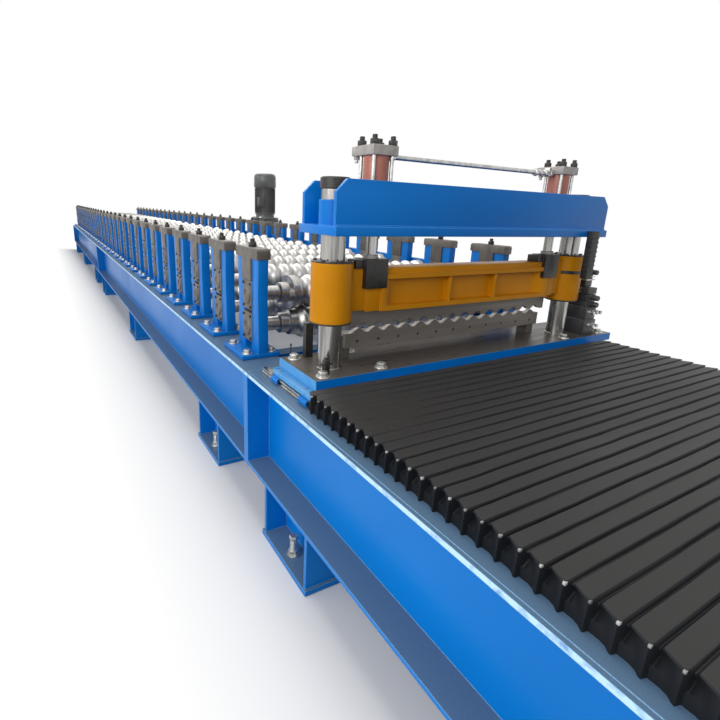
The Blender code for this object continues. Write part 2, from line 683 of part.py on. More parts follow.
def head_casting():
    """Yellow head: two bushings, solid cheeks beside them and a ribbed beam between."""
    half_depth = HEAD_DEPTH / 2
    cheek_end = COLUMN_X - BUSHING_RADIUS * CHEEK_INTO_BUSHING
    cheek_start = COLUMN_X - BUSHING_RADIUS - HEAD_CHEEK
    under_lip = HEAD_TOP - HEAD_LIP_DROP - HEAD_FLANGE + WELD
    pieces = [extrusion(head_outline(), "x", -cheek_start - WELD, cheek_start + WELD)]
    for side in (-1, 1):
        x_range = sorted((side * cheek_start, side * cheek_end))
        pieces.append(box(x_range, (SHEAR_Y - half_depth, SHEAR_Y + half_depth), (HEAD_BOTTOM, HEAD_TOP)))
        pieces.append(rod("z", (side * COLUMN_X, SHEAR_Y, 0.0), BUSHING_RADIUS,
                          BUSHING_BOTTOM, BUSHING_BOTTOM + BUSHING_HEIGHT, 20))
        taper_start = side * (cheek_start + WELD)
        taper_end = side * (cheek_start - HEAD_TAPER)
        taper = [(taper_start, SHEAR_Y - half_depth), (taper_start, SHEAR_Y + half_depth),
                 (taper_end, SHEAR_Y + HEAD_WEB / 2 - WELD), (taper_end, SHEAR_Y - HEAD_WEB / 2 + WELD)]
        pieces.append(extrusion(taper, "z", HEAD_BOTTOM + WELD, under_lip))
    inset = HEAD_RIB_INSET
    for index in range(HEAD_RIBS):
        x = (index - (HEAD_RIBS - 1) / 2) * HEAD_PANEL
        pieces.append(box((x - HEAD_RIB / 2, x + HEAD_RIB / 2),
                          (SHEAR_Y - half_depth + inset, SHEAR_Y + half_depth - inset),
                          (HEAD_BOTTOM + WELD, under_lip)))
    cutters = []
    for side in (-1, 1):
        cutters.append(rod("z", (side * COLUMN_X, SHEAR_Y, 0.0), COLUMN_RADIUS + RUNNING_GAP,
                           BUSHING_BOTTOM - WELD, BUSHING_BOTTOM + BUSHING_HEIGHT + WELD, 16))
        pocket = CLEVIS_WIDTH / 2 + SEAT_GAP
        x = side * CYLINDER_X
        cutters.append(box((x - pocket, x + pocket),
                           (SHEAR_Y - half_depth - WELD, SHEAR_Y - half_depth + CLEVIS_DEPTH + SEAT_GAP),
                           (HEAD_TOP - CLEVIS_HEIGHT - SEAT_GAP, HEAD_TOP + WELD)))
    return cut(fuse(pieces), cutters)


def rod_and_block(x):
    """Piston rod with the black block that seats it in the head's pocket."""
    half_depth = HEAD_DEPTH / 2
    front = SHEAR_Y - half_depth
    bottom = HEAD_TOP - CLEVIS_HEIGHT
    block = box((x - CLEVIS_WIDTH / 2, x + CLEVIS_WIDTH / 2), (front, front + CLEVIS_DEPTH),
                (bottom, HEAD_TOP + CLEVIS_RISE))
    base = TOP_BEAM_BOTTOM + TOP_BEAM_FLOOR + SEAT_GAP
    shaft = rod("z", (x, SHEAR_Y, 0.0), ROD_RADIUS, HEAD_TOP, base + ROD_ENGAGEMENT, 12)
    collar = rod("z", (x, SHEAR_Y, 0.0), ROD_RADIUS + ROD_COLLAR[0], HEAD_TOP,
                 HEAD_TOP + CLEVIS_RISE + ROD_COLLAR[1], 12)
    return fuse([block, shaft, collar])


def blade_outline(lower):
    """Blade seen along Y: one wavy edge for the sheet's profile and three straight ones."""
    steps = WAVES * BLADE_STEPS
    half = BLADE_HALF
    points = []
    middle = PASS_HEIGHT if lower else PASS_HEIGHT + BLADE_OPENING
    half_waves = WAVES * WAVE_PITCH / 2
    for step in range(steps + 1):
        angle = 2 * math.pi * step / BLADE_STEPS
        points.append((-half_waves + step * WAVE_PITCH / BLADE_STEPS, middle - math.cos(angle) * WAVE_DEPTH / 2))
    ends = middle - WAVE_DEPTH / 2
    if lower:
        flat = PASS_HEIGHT - LOWER_BLADE_HEIGHT
    else:
        flat = HEAD_BOTTOM - SEAT_GAP
    return [(-half, flat), (-half, ends)] + points + [(half, ends), (half, flat)]


def lower_blade():
    front = BLADE_PLANE + BLADE_OVERLAP_GAP
    blade = extrusion(blade_outline(True), "y", front, front + BLADE_THICK)
    reach = BLADE_HALF - BLADE_HOLE_MARGIN
    pitch = 2 * reach / (BLADE_HOLES - 1)
    holes = [rod("y", (index * pitch - reach, front, PASS_HEIGHT - BLADE_HOLE_DROP),
                 BLADE_HOLE_RADIUS, -WELD, BLADE_THICK + WELD, 6) for index in range(BLADE_HOLES)]
    return cut(blade, holes)


def blade_holder():
    """Bar behind the lower blade on two posts that stand on the bed plate."""
    front = BLADE_PLANE + BLADE_OVERLAP_GAP + BLADE_THICK + SEAT_GAP
    top = PASS_HEIGHT - WAVE_DEPTH
    half = BLADE_HALF
    pieces = [box((-half, half), (front, front + HOLDER_DEPTH), (top - HOLDER_HEIGHT, top))]
    for side in (-1, 1):
        x_range = sorted((side * (half - HOLDER_POST_WIDTH), side * (half + HOLDER_POST_OUTSET)))
        pieces.append(box(x_range, (front, front + HOLDER_DEPTH), (BED_TOP + SEAT_GAP, top - WELD)))
    return fuse(pieces)


def bellows_outline(start, end):
    """Side view of the folded cover: flat underside and a row of ridges on top."""
    top = DECK + BELLOWS_HEIGHT
    folds = round((end - start) / BELLOWS_FOLD)
    pitch = (end - start) / folds
    points = [(start, DECK + SEAT_GAP), (end, DECK + SEAT_GAP)]
    for index in range(folds, 0, -1):
        points.append((start + index * pitch, top - BELLOWS_RIDGE))
        points.append((start + (index - 0.5) * pitch, top))
    points.append((start, top - BELLOWS_RIDGE))
    return points


def motor_body_outline():
    """Finned motor housing seen from above: the radius steps in and out once per fin."""
    points = []
    for index in range(FIN_COUNT):
        root = MOTOR_RADIUS - FIN_DEPTH
        for share, radius in zip((0.0, *FIN_SHARES), (MOTOR_RADIUS, MOTOR_RADIUS, root, root)):
            angle = 2 * math.pi * (index + share) / FIN_COUNT
            points.append((DRIVE_X + radius * math.cos(angle), DRIVE_Y + radius * math.sin(angle)))
    return points


def guard(first, last):
    """Closed cover over the chains, on feet that stand on the far beam between stations."""
    start = station_y(first) - GUARD_END_REACH
    end = station_y(last) + GUARD_END_REACH
    low = GUARD_X
    high = GUARD_X + GUARD_DEPTH
    outline = [(low, GUARD_BOTTOM), (high, GUARD_BOTTOM), (high, GUARD_TOP - GUARD_CHAMFER),
               (high - GUARD_CHAMFER, GUARD_TOP), (low, GUARD_TOP)]
    pieces = [extrusion(outline, "y", start, end)]
    for number in range(first + 1, last, GUARD_FOOT_EVERY):
        middle = station_y(number) + STATION_PITCH / 2
        pieces.append(box((low + GUARD_FOOT_INSET, high - GUARD_FOOT_INSET),
                          (middle - GUARD_FOOT_LENGTH / 2, middle + GUARD_FOOT_LENGTH / 2),
                          (DECK + SEAT_GAP, GUARD_BOTTOM + WELD)))
    return fuse(pieces)


def build_machine():
    clear_scene()
    blue = make_material("blue_paint", (0.0, 0.17, 0.62), 0.35)
    yellow = make_material("yellow_paint", (0.66, 0.27, 0.01), 0.4)
    steel = make_material("ground_steel", (0.42, 0.40, 0.37), 0.35, 1.0)
    chrome = make_material("chrome_steel", (0.70, 0.69, 0.66), 0.18, 1.0)
    blade_grey = make_material("blade_steel", (0.16, 0.16, 0.15), 0.45, 0.8)
    black = make_material("black_metal", (0.02, 0.02, 0.02), 0.45)
    fabric = make_material("bellows_fabric", (0.035, 0.033, 0.032), 0.8)
    motor_grey = make_material("motor_grey", (0.09, 0.09, 0.085), 0.5)
    barrel_red = make_material("barrel_red", (0.35, 0.08, 0.05), 0.4)

    machine = bpy.data.objects.new("machine", None)
    machine.location = (CENTRE_SHIFT_X, CENTRE_SHIFT_Y, 0.0)
    bpy.context.scene.collection.objects.link(machine)

    exit_legs = (EXIT_LEG_INSETS[0], BREAK_ONE - EXIT_LEG_INSETS[1])
    finish(fuse(frame_section(0.0, BREAK_ONE, exit_legs)), "exit_frame", blue, machine)
    middle_one = (BREAK_ONE + BREAK_TWO) / 2
    legs_one = (BREAK_ONE + LEG_INSET, middle_one, BREAK_TWO - LEG_INSET)
    finish(fuse(frame_section(BREAK_ONE, BREAK_TWO, legs_one)), "main_frame_front", blue, machine)
    middle_two = (BREAK_TWO + MACHINE_LENGTH) / 2
    legs_two = (BREAK_TWO + LEG_INSET, middle_two, MACHINE_LENGTH - LEG_INSET)
    rear = frame_section(BREAK_TWO, MACHINE_LENGTH, legs_two)
    half_reach = STAND_X - STAND_THICK / 2 + WELD
    for number in range(STATIONS_PER_SECTION + 1, STATIONS + 1):
        for side in (-1, 1):
            rear.append(plain_stand(side * STAND_X, station_y(number), DECK - WELD))
        for lower in (False, True):
            rear.append(roll_solid(number, lower, half_reach, BANK_ROLL_SIDES))
    finish(fuse(rear), "main_frame_rear", blue, machine)

    for number in range(1, TURNING_STATIONS + 1):
        y = station_y(number)
        for side, label in ((-1, "near"), (1, "far")):
            x = side * STAND_X
            stand = fuse(stand_solids(x, y, side) + block_solids(x, y, side))
            inner = x - side * (BLOCK_THICK / 2 + WELD)
            bores = []
            for axle in (UPPER_AXLE, LOWER_AXLE):
                low, high = sorted((inner, inner + side * (JOURNAL_LENGTH + WELD + RUNNING_GAP)))
                bores.append(rod("x", (0.0, y, axle), SHAFT_RADIUS + JOURNAL_PLAY, low, high, BORE_SIDES))
            finish(cut(stand, bores), f"{label}_stand_{number}", blue, machine)
        reach = STAND_X - BLOCK_THICK / 2 + JOURNAL_LENGTH
        for lower, label, axle in ((True, "lower", LOWER_AXLE), (False, "upper", UPPER_AXLE)):
            roll = roll_solid(number, lower, reach, ROLL_SIDES)
            finish(roll, f"{label}_roll_{number}", chrome, machine, (0.0, y, axle), 25)

    for number in range(TURNING_STATIONS + 1, STATIONS_PER_SECTION + 1):
        y = station_y(number)
        pieces = [plain_stand(side * STAND_X, y, DECK + SEAT_GAP) for side in (-1, 1)]
        for lower in (False, True):
            pieces.append(roll_solid(number, lower, half_reach, BANK_ROLL_SIDES))
        finish(fuse(pieces), f"station_{number:02d}", chrome, machine)

    for side, label in ((-1, "near"), (1, "far")):
        x = side * RAIL_X
        rail = box((x - RAIL_WIDTH / 2, x + RAIL_WIDTH / 2), (RAIL_START, RAIL_END), (DECK + SEAT_GAP, RAIL_TOP))
        finish(rail, f"linear_rail_{label}", chrome, machine)

    carriage_origin = (0.0, SHEAR_Y, CARRIAGE_BOTTOM)
    finish(carriage_plate(), "carriage_plate", blue, machine, carriage_origin)
    bed = box((BED_INSET - FRAME_WIDTH / 2, FRAME_WIDTH / 2 + BED_OUTSET),
              (BED_FRONT, BED_FRONT + BED_DEPTH), (BED_BOTTOM, BED_TOP))
    finish(bed, "bed_plate", blue, machine, carriage_origin)
    for side, label in ((-1, "near"), (1, "far")):
        finish(column(side * COLUMN_X), f"guide_column_{label}", chrome, machine, carriage_origin, 40)
        finish(cylinder(side * CYLINDER_X), f"cylinder_{label}", barrel_red, machine, carriage_origin, 40)
    finish(top_beam(), "top_beam", blue, machine, carriage_origin)
    finish(lower_blade(), "lower_blade", blade_grey, machine, carriage_origin)
    finish(blade_holder(), "blade_holder", steel, machine, carriage_origin)
    pipe_reach = CYLINDER_X - CYLINDER_CAP / 2 - SEAT_GAP
    pipe_height = CYLINDER_CAP_TOP - CYLINDER_CAP_THICK + PIPE_RISE
    pipe = rod("x", (0.0, SHEAR_Y, pipe_height), PIPE_RADIUS, -pipe_reach, pipe_reach, 8)
    finish(pipe, "crossover_pipe", chrome, machine, carriage_origin, 60)
    valve_front = SHEAR_Y - VALVE_FRONT
    valve_near = COLUMN_X + VALVE_OUTSET
    valve = box((valve_near, valve_near + VALVE_WIDTH), (valve_front, valve_front + VALVE_DEPTH),
                (BED_TOP + SEAT_GAP, BED_TOP + VALVE_HEIGHT))
    finish(valve, "valve_unit", black, machine, carriage_origin)
    duct_back = SHEAR_Y - TOP_BEAM_DEPTH / 2 - TOP_BEAM_LIP - SEAT_GAP
    duct_x = COLUMN_X - DUCT_INSET
    duct = box((duct_x - DUCT_WIDTH / 2, duct_x + DUCT_WIDTH / 2), (duct_back - DUCT_DEPTH, duct_back),
               (TOP_BEAM_BOTTOM - DUCT_HANG, TOP_BEAM_BOTTOM + DUCT_OVERLAP))
    finish(duct, "cable_duct", black, machine, carriage_origin)

    head_origin = (0.0, SHEAR_Y, HEAD_BOTTOM)
    finish(head_casting(), "head_casting", yellow, machine, head_origin, 30)
    blade_back = BLADE_PLANE
    upper = extrusion(blade_outline(False), "y", blade_back - BLADE_THICK, blade_back)
    finish(upper, "upper_blade", blade_grey, machine, head_origin)
    for side, label in ((-1, "near"), (1, "far")):
        finish(rod_and_block(side * CYLINDER_X), f"piston_rod_{label}", black, machine, head_origin)

    bellows_end = CARRIAGE_FRONT - SEAT_GAP
    bellows_start = BELLOWS_END_GAP + END_BRACKET_THICK + SEAT_GAP
    cover = extrusion(bellows_outline(bellows_start, bellows_end), "x", -BELLOWS_HALF, BELLOWS_HALF)
    hollow = box((BELLOWS_SKIRT - BELLOWS_HALF, BELLOWS_HALF - BELLOWS_SKIRT),
                 (0.0, CARRIAGE_FRONT + WELD), (DECK - WELD, DECK + BELLOWS_HEIGHT - BELLOWS_RIDGE - BELLOWS_COVER))
    finish(cut(cover, [hollow]), "bellows", fabric, machine)
    bracket = box((-BELLOWS_HALF, BELLOWS_HALF),
                  (BELLOWS_END_GAP, BELLOWS_END_GAP + END_BRACKET_THICK),
                  (DECK + SEAT_GAP, DECK + BELLOWS_HEIGHT))
    finish(bracket, "bellows_end_bracket", blue, machine)

    gearbox = box((DRIVE_X - GEARBOX_WIDTH / 2, DRIVE_X + GEARBOX_WIDTH / 2),
                  (DRIVE_Y - GEARBOX_LENGTH / 2, DRIVE_Y + GEARBOX_LENGTH / 2), (GEARBOX_BOTTOM, GEARBOX_TOP))
    finish(gearbox, "gearbox", motor_grey, machine)
    flange_top = MOTOR_BOTTOM + MOTOR_FLANGE_THICK
    body_bottom = flange_top + MOTOR_BELL_HEIGHT
    flange = turned([(MOTOR_FLANGE_RADIUS, MOTOR_BOTTOM), (MOTOR_FLANGE_RADIUS, flange_top),
                     (MOTOR_BELL_RADIUS, flange_top + WELD), (MOTOR_BELL_RADIUS, body_bottom + WELD)],
                    "z", (DRIVE_X, DRIVE_Y, 0.0), 24)
    body = extrusion(motor_body_outline(), "z", body_bottom, body_bottom + MOTOR_BODY_HEIGHT)
    finish(fuse([body, flange]), "drive_motor", motor_grey, machine)
    hood_bottom = body_bottom + MOTOR_BODY_HEIGHT + SEAT_GAP
    hood = turned([(HOOD_RADIUS, hood_bottom), (HOOD_RADIUS, hood_bottom + HOOD_HEIGHT - HOOD_SHOULDER[1]),
                   (HOOD_RADIUS - HOOD_SHOULDER[0], hood_bottom + HOOD_HEIGHT)], "z", (DRIVE_X, DRIVE_Y, 0.0), 24)
    finish(hood, "fan_hood", motor_grey, machine, round_angle=40)

    bracket_low = DECK - BRACKET_DROP
    shelf = [(FRAME_WIDTH / 2 + SEAT_GAP, bracket_low), (FRAME_WIDTH / 2 + BRACKET_FOOT, bracket_low),
             (DRIVE_X + GEARBOX_WIDTH / 2, GEARBOX_BOTTOM - BRACKET_LIP),
             (DRIVE_X + GEARBOX_WIDTH / 2, GEARBOX_BOTTOM - SEAT_GAP),
             (FRAME_WIDTH / 2 + SEAT_GAP, GEARBOX_BOTTOM - SEAT_GAP)]
    finish(extrusion(shelf, "y", DRIVE_Y - GEARBOX_LENGTH / 2, DRIVE_Y + GEARBOX_LENGTH / 2),
           "gearbox_bracket", blue, machine)
    for label, first, last in (("front", 1, STATIONS_PER_SECTION), ("rear", STATIONS_PER_SECTION + 1, STATIONS)):
        finish(guard(first, last), f"chain_guard_{label}", blue, machine)


build_machine()
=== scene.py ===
# %% [markdown]
# # A roll forming machine for corrugated sheet
# The machine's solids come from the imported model, which gives every piece its place and size.
# This lesson dresses them: paint, chrome, rubber and the hundreds of small repeated parts that
# a plain solid model leaves out. Everything is in metres, and +Z is up.

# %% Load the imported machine
import json
import math

import bmesh
import bpy
from mathutils import Matrix, Vector

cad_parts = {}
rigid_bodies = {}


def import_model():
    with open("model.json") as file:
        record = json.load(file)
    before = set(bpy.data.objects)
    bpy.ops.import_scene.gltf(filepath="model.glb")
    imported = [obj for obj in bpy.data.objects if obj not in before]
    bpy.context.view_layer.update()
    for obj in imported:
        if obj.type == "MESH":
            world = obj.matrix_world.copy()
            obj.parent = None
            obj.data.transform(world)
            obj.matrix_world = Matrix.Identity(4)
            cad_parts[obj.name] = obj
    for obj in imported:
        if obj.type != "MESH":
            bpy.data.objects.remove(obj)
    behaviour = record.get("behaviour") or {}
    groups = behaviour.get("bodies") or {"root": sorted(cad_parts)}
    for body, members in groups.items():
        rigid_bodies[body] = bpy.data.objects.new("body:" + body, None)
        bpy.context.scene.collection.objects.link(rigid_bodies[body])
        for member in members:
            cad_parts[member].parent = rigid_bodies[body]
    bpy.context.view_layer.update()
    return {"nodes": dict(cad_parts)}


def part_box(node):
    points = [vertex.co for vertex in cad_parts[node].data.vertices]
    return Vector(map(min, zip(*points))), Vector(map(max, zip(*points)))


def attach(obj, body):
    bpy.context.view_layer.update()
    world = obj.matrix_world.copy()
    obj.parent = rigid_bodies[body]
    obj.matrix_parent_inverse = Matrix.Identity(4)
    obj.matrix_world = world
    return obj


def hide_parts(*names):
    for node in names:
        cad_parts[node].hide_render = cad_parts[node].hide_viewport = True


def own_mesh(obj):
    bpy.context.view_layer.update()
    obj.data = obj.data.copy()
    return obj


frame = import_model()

# %% [markdown]
# The real machine is set out from its centre line and from the exit face of its bed, so the
# lesson keeps those two as its zero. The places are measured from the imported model, which means
# that nothing here has to be moved when the model changes.

# %% Measure the places that the other cells use
roll_low, roll_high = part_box("lower_roll_1")
CENTRE_X = (roll_low.x + roll_high.x) / 2
EXIT_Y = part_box("exit_frame")[0].y
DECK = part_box("exit_frame")[1].z
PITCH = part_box("lower_roll_2")[0].y - roll_low.y
STATION_ONE = (roll_low.y + roll_high.y) / 2
LOWER_AXLE = (roll_low.z + roll_high.z) / 2
upper_low, upper_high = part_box("upper_roll_1")
UPPER_AXLE = (upper_low.z + upper_high.z) / 2
near_low, near_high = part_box("near_stand_1")
STAND_TOP = near_high.z
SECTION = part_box("main_frame_rear")[0].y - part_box("main_frame_front")[0].y
TURNING = 3
STATIONS = 30
PER_SECTION = 15


def at(x, y, z):
    """A place given from the centre line, the exit face and the floor."""
    return Vector((CENTRE_X + x, EXIT_Y + y, z))


def station_y(number):
    """Lengthwise place of a roll station, counted from 1 at the shear."""
    section = (number - 1) // PER_SECTION
    return STATION_ONE + section * SECTION + ((number - 1) % PER_SECTION) * PITCH


SHEAR_Y = (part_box("guide_column_near")[0].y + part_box("guide_column_near")[1].y) / 2
print("centre line x %.3f, station pitch %.3f, shear at y %.3f" % (CENTRE_X, PITCH, SHEAR_Y))

# %% [markdown]
# ## Finishes
# A factory finish is never one flat colour. Paint has a faint orange peel, a slow drift of tone
# and lighter edges, which are partly wear and partly a painted highlight. Ground steel has fine
# lines in one direction, and chrome has hardly any. One helper builds all of them from the same
# few layers, so they differ only in their numbers: a slow noise drifts the colour, a fine noise
# lifts the surface, and the Bevel node finds the edges, where it both rounds the shading and lets
# a lighter tone through as wear and painted highlight. Faces that point up, and a band of faces
# that point sideways, can take a colour of their own, which stands in partly for dust and wear
# and partly for painted light.

# %% Build the helper for finishes


def compute(nodes, join, operation, *values):
    """One sum in a material, on sockets or plain numbers."""
    node = nodes.new("ShaderNodeMath")
    node.operation = operation
    for socket, value in zip(node.inputs, values):
        if isinstance(value, float):
            socket.default_value = value
        else:
            join(value, socket)
    return node.outputs[0]


def split_up(nodes, join, vector):
    """The X, Y and Z of a vector in a material."""
    split = nodes.new("ShaderNodeSeparateXYZ")
    join(vector, split.inputs["Vector"])
    return split.outputs


def finish(name, colour, other, rough=(0.3, 0.45), metal=0.0, patch=3.0, grain=420.0, lift=0.0001,
           stretch=(1, 1, 1), coat=0.0, edge=None, edge_size=0.002, top=None, gloss=0.5, rim=None):
    """A surface that drifts between two colours, with grain, edges lighter as wear and painted highlight, its own
    colour on what faces up, which stands for dust, bare steel and painted light, and a sideways band of wear and
    painted highlight.
    """
    material = bpy.data.materials.new(name)
    material.use_nodes = True
    nodes = material.node_tree.nodes
    join = material.node_tree.links.new
    shader = nodes["Principled BSDF"]
    shader.inputs["Metallic"].default_value = metal
    shader.inputs["Coat Weight"].default_value = coat
    shader.inputs["Coat Roughness"].default_value = 0.12
    shader.inputs["Specular IOR Level"].default_value = gloss
    place = nodes.new("ShaderNodeTexCoord")
    mapping = nodes.new("ShaderNodeMapping")
    mapping.inputs["Scale"].default_value = stretch
    join(place.outputs["Object"], mapping.inputs["Vector"])

    def clouds(scale, detail):
        """Soft noise from 0 to 1, on the object's own coordinates."""
        cloud = nodes.new("ShaderNodeTexNoise")
        cloud.inputs["Scale"].default_value = scale
        cloud.inputs["Detail"].default_value = detail
        join(mapping.outputs["Vector"], cloud.inputs["Vector"])
        return cloud.outputs["Fac"]

    def spread(value, low, high, new_low, new_high):
        """Stretch a value from one range to another, and clamp it there."""
        change = nodes.new("ShaderNodeMapRange")
        for label, number in zip(("From Min", "From Max", "To Min", "To Max"), (low, high, new_low, new_high)):
            change.inputs[label].default_value = number
        join(value, change.inputs["Value"])
        return change.outputs["Result"]

    def mix(factor, first, second):
        """Blend two colours, each a plain one or a socket."""
        blend = nodes.new("ShaderNodeMix")
        blend.data_type = "RGBA"
        join(factor, blend.inputs["Factor"])
        for socket, value in ((blend.inputs["A"], first), (blend.inputs["B"], second)):
            if isinstance(value, tuple):
                socket.default_value = (*value, 1.0)
            else:
                join(value, socket)
        return blend.outputs["Result"]

    normal = nodes.new("ShaderNodeNewGeometry").outputs["Normal"]
    slow = clouds(patch, 4.0)
    fine = clouds(grain, 3.0)
    tone = mix(spread(slow, 0.35, 0.65, 0.0, 1.0), colour, other)
    speck = mix(spread(fine, 0.62, 0.72, 0.0, 0.35), tone, tuple(0.6 * part for part in other))
    look = speck
    # Faces that point up take the top colour: bare ground steel on the bed plate, dust and a painted sheen on the bed,
    # a painted sheen on the carriage plate, and the fabric's own tone on the bellows, whose walls are painted darker
    # as shade.
    if top is not None:
        up_face_dust_and_painted_light = mix(spread(fine, 0.3, 0.7, 0.0, 1.0), tuple(0.82 * part for part in top), top)
        look = mix(spread(split_up(nodes, join, normal)["Z"], 0.75, 0.95, 0.0, 1.0), look, up_face_dust_and_painted_light)
    # Faces that point sideways, within a band of heights, take a lighter colour: wear and a painted highlight on the
    # bed's flange edge, and a painted highlight on the sides of the carriage plate and the bed plate.
    if rim is not None:
        low, high, rim_wear_and_painted_highlight = rim
        sideways = compute(nodes, join, "ABSOLUTE", split_up(nodes, join, normal)["X"])
        height = split_up(nodes, join, place.outputs["Object"])["Z"]
        share = spread(clouds(38.0, 5.0), 0.30, 0.52, 0.35, 0.95)
        for part in (spread(sideways, 0.85, 0.95, 0.0, 1.0),
                     spread(height, low - 0.0005, low + 0.0005, 0.0, 1.0),
                     spread(height, high - 0.0005, high + 0.0005, 1.0, 0.0)):
            share = compute(nodes, join, "MULTIPLY", share, part)
        look = mix(share, look, rim_wear_and_painted_highlight)
    bevel = nodes.new("ShaderNodeBevel")
    bevel.samples = 4
    bevel.inputs["Radius"].default_value = edge_size
    # Edges that the Bevel node finds take a lighter colour, partly wear and partly a painted highlight.
    if edge is not None:
        match = nodes.new("ShaderNodeVectorMath")
        match.operation = "DOT_PRODUCT"
        join(normal, match.inputs[0])
        join(bevel.outputs["Normal"], match.inputs[1])
        look = mix(spread(match.outputs["Value"], 0.97, 0.86, 0.0, 0.8), look, edge)
    bump = nodes.new("ShaderNodeBump")
    bump.inputs["Strength"].default_value = 0.5
    bump.inputs["Distance"].default_value = lift
    join(fine, bump.inputs["Height"])
    join(bevel.outputs["Normal"], bump.inputs["Normal"])
    join(bump.outputs["Normal"], shader.inputs["Normal"])
    join(look, shader.inputs["Base Color"])
    join(spread(slow, 0.3, 0.7, *rough), shader.inputs["Roughness"])
    return material


# %% [markdown]
# The machine needs about twenty of them. The structure is sprayed in one blue. On top of the bed
# it is greyed, partly as dust and partly as a painted sheen, and the flange edges carry a pale band
# that is partly wear and partly a painted highlight. Every wearing part is bare: chrome on rolls and
# columns, ground or oiled steel on blades and blocks, and black oxide on the screws. They could be
# one material with many switches, but a named finish for each trade is easier to find and change.

# %% Mix the finishes of this machine
BLUE = finish("blue_enamel", (0.0, 0.185, 0.62), (0.0, 0.150, 0.52), (0.30, 0.42), patch=1.3, gloss=0.2,
              edge=(0.14, 0.46, 0.86))
BED_BLUE = finish("blue_enamel_dust_and_painted_sheen", (0.0, 0.195, 0.63), (0.0, 0.170, 0.56), (0.30, 0.42), patch=1.3, gloss=0.2,
                  edge=(0.30, 0.60, 0.88), edge_size=0.003, top=(0.105, 0.185, 0.29),
                  rim=(DECK - 0.0136, DECK + 0.001, (0.58, 0.84, 0.98)))
# The carriage plate's blue is painted lighter on its top and sideways faces, as a sheen and highlight of the light.
SHEEN_BLUE = finish("blue_enamel_with_painted_sheen", (0.0, 0.185, 0.62), (0.01, 0.20, 0.58), (0.26, 0.4), patch=14.0, gloss=0.2,
                     edge=(0.20, 0.52, 0.88), top=(0.06, 0.27, 0.58), rim=(-10.0, 10.0, (0.12, 0.38, 0.68)))
YELLOW = finish("yellow_enamel", (0.62, 0.25, 0.003), (0.55, 0.215, 0.002), (0.30, 0.42), patch=5.0, gloss=0.15,
                edge=(0.78, 0.42, 0.06))
ROLL_CHROME = finish("chromed_roll", (0.52, 0.51, 0.495), (0.38, 0.37, 0.355), (0.28, 0.42), metal=1.0,
                     patch=22.0, grain=500.0, lift=0.00003, stretch=(4, 1, 1))
COLUMN_CHROME = finish("chromed_column", (0.48, 0.47, 0.45), (0.24, 0.235, 0.225), (0.18, 0.30), metal=1.0,
                       patch=14.0, grain=300.0, lift=0.00003, stretch=(6, 6, 0.3))
BLADE = finish("blade_steel", (0.24, 0.215, 0.19), (0.18, 0.163, 0.145), (0.36, 0.5), metal=0.3, patch=9.0,
               grain=260.0, lift=0.00008, stretch=(0.25, 4, 4), edge=(0.40, 0.37, 0.33))
CAST_STEEL = finish("oiled_steel", (0.165, 0.15, 0.13), (0.12, 0.105, 0.09), (0.42, 0.6), metal=0.4, patch=18.0,
                    grain=350.0, lift=0.00015, edge=(0.36, 0.33, 0.29))
CAP_STEEL = finish("cylinder_cap_steel", (0.42, 0.39, 0.36), (0.31, 0.285, 0.26), (0.4, 0.55), metal=0.2,
                   patch=30.0, grain=300.0, lift=0.00012, edge=(0.6, 0.58, 0.54))
# The bed plate shows bare ground steel on top; its sideways faces are painted a lighter blue as a highlight.
GROUND_PLATE = finish("ground_bed_plate", (0.0, 0.185, 0.62), (0.0, 0.155, 0.54), (0.25, 0.4), patch=6.0,
                      stretch=(1, 5, 1), gloss=0.25, edge=(0.14, 0.46, 0.86), top=(0.100, 0.086, 0.073),
                      rim=(-10.0, 10.0, (0.10, 0.36, 0.68)))
ZINC = finish("bright_zinc", (0.62, 0.62, 0.60), (0.42, 0.42, 0.40), (0.24, 0.4), metal=0.8, patch=60.0,
              grain=700.0, lift=0.00005)
BLACK_OXIDE = finish("black_oxide", (0.020, 0.019, 0.018), (0.035, 0.032, 0.03), (0.3, 0.48), metal=0.3,
                     patch=50.0, grain=500.0, lift=0.0001, edge=(0.10, 0.095, 0.09))
VALVE_GREY = finish("phosphated_valve_steel", (0.060, 0.060, 0.062), (0.038, 0.038, 0.040), (0.35, 0.5), metal=0.3,
                    patch=30.0, grain=420.0, lift=0.00012, edge=(0.22, 0.22, 0.22))
RUBBER = finish("black_rubber", (0.010, 0.010, 0.010), (0.018, 0.018, 0.019), (0.45, 0.65), patch=40.0,
                grain=900.0, lift=0.0001)
MOTOR_GREY = finish("motor_grey", (0.098, 0.096, 0.093), (0.070, 0.069, 0.067), (0.35, 0.5), patch=9.0,
                    grain=380.0, lift=0.00018, edge=(0.2, 0.2, 0.19))
HOOD_GREY = finish("hood_grey", (0.128, 0.128, 0.126), (0.098, 0.098, 0.096), (0.3, 0.42), patch=8.0, grain=500.0,
                   edge=(0.3, 0.3, 0.29))
BARREL_RED = finish("barrel_red", (0.50, 0.155, 0.10), (0.36, 0.115, 0.075), (0.25, 0.4), patch=20.0, grain=320.0,
                    stretch=(1, 1, 0.4))
# The fabric's own tone is the top colour; the rest, the fold walls above all, is painted far darker as the shade of
# the deep folds.
FABRIC = finish("coated_fabric", (0.007, 0.0085, 0.011), (0.012, 0.013, 0.015), (0.45, 0.62), patch=2.4,
                grain=1500.0, lift=0.0002, stretch=(0.4, 1, 1), gloss=0.2, top=(0.034, 0.0335, 0.032))
# The frame tips drift between bright and dull metal; the bright ones partly stand in for painted glints.
FRAME_TIP_AND_GLINT = finish("fold_frame_tip_and_glint", (0.50, 0.49, 0.47), (0.10, 0.098, 0.095), (0.3, 0.5), metal=0.3, patch=26.0,
                   grain=800.0)
print("finishes:", len(bpy.data.materials))

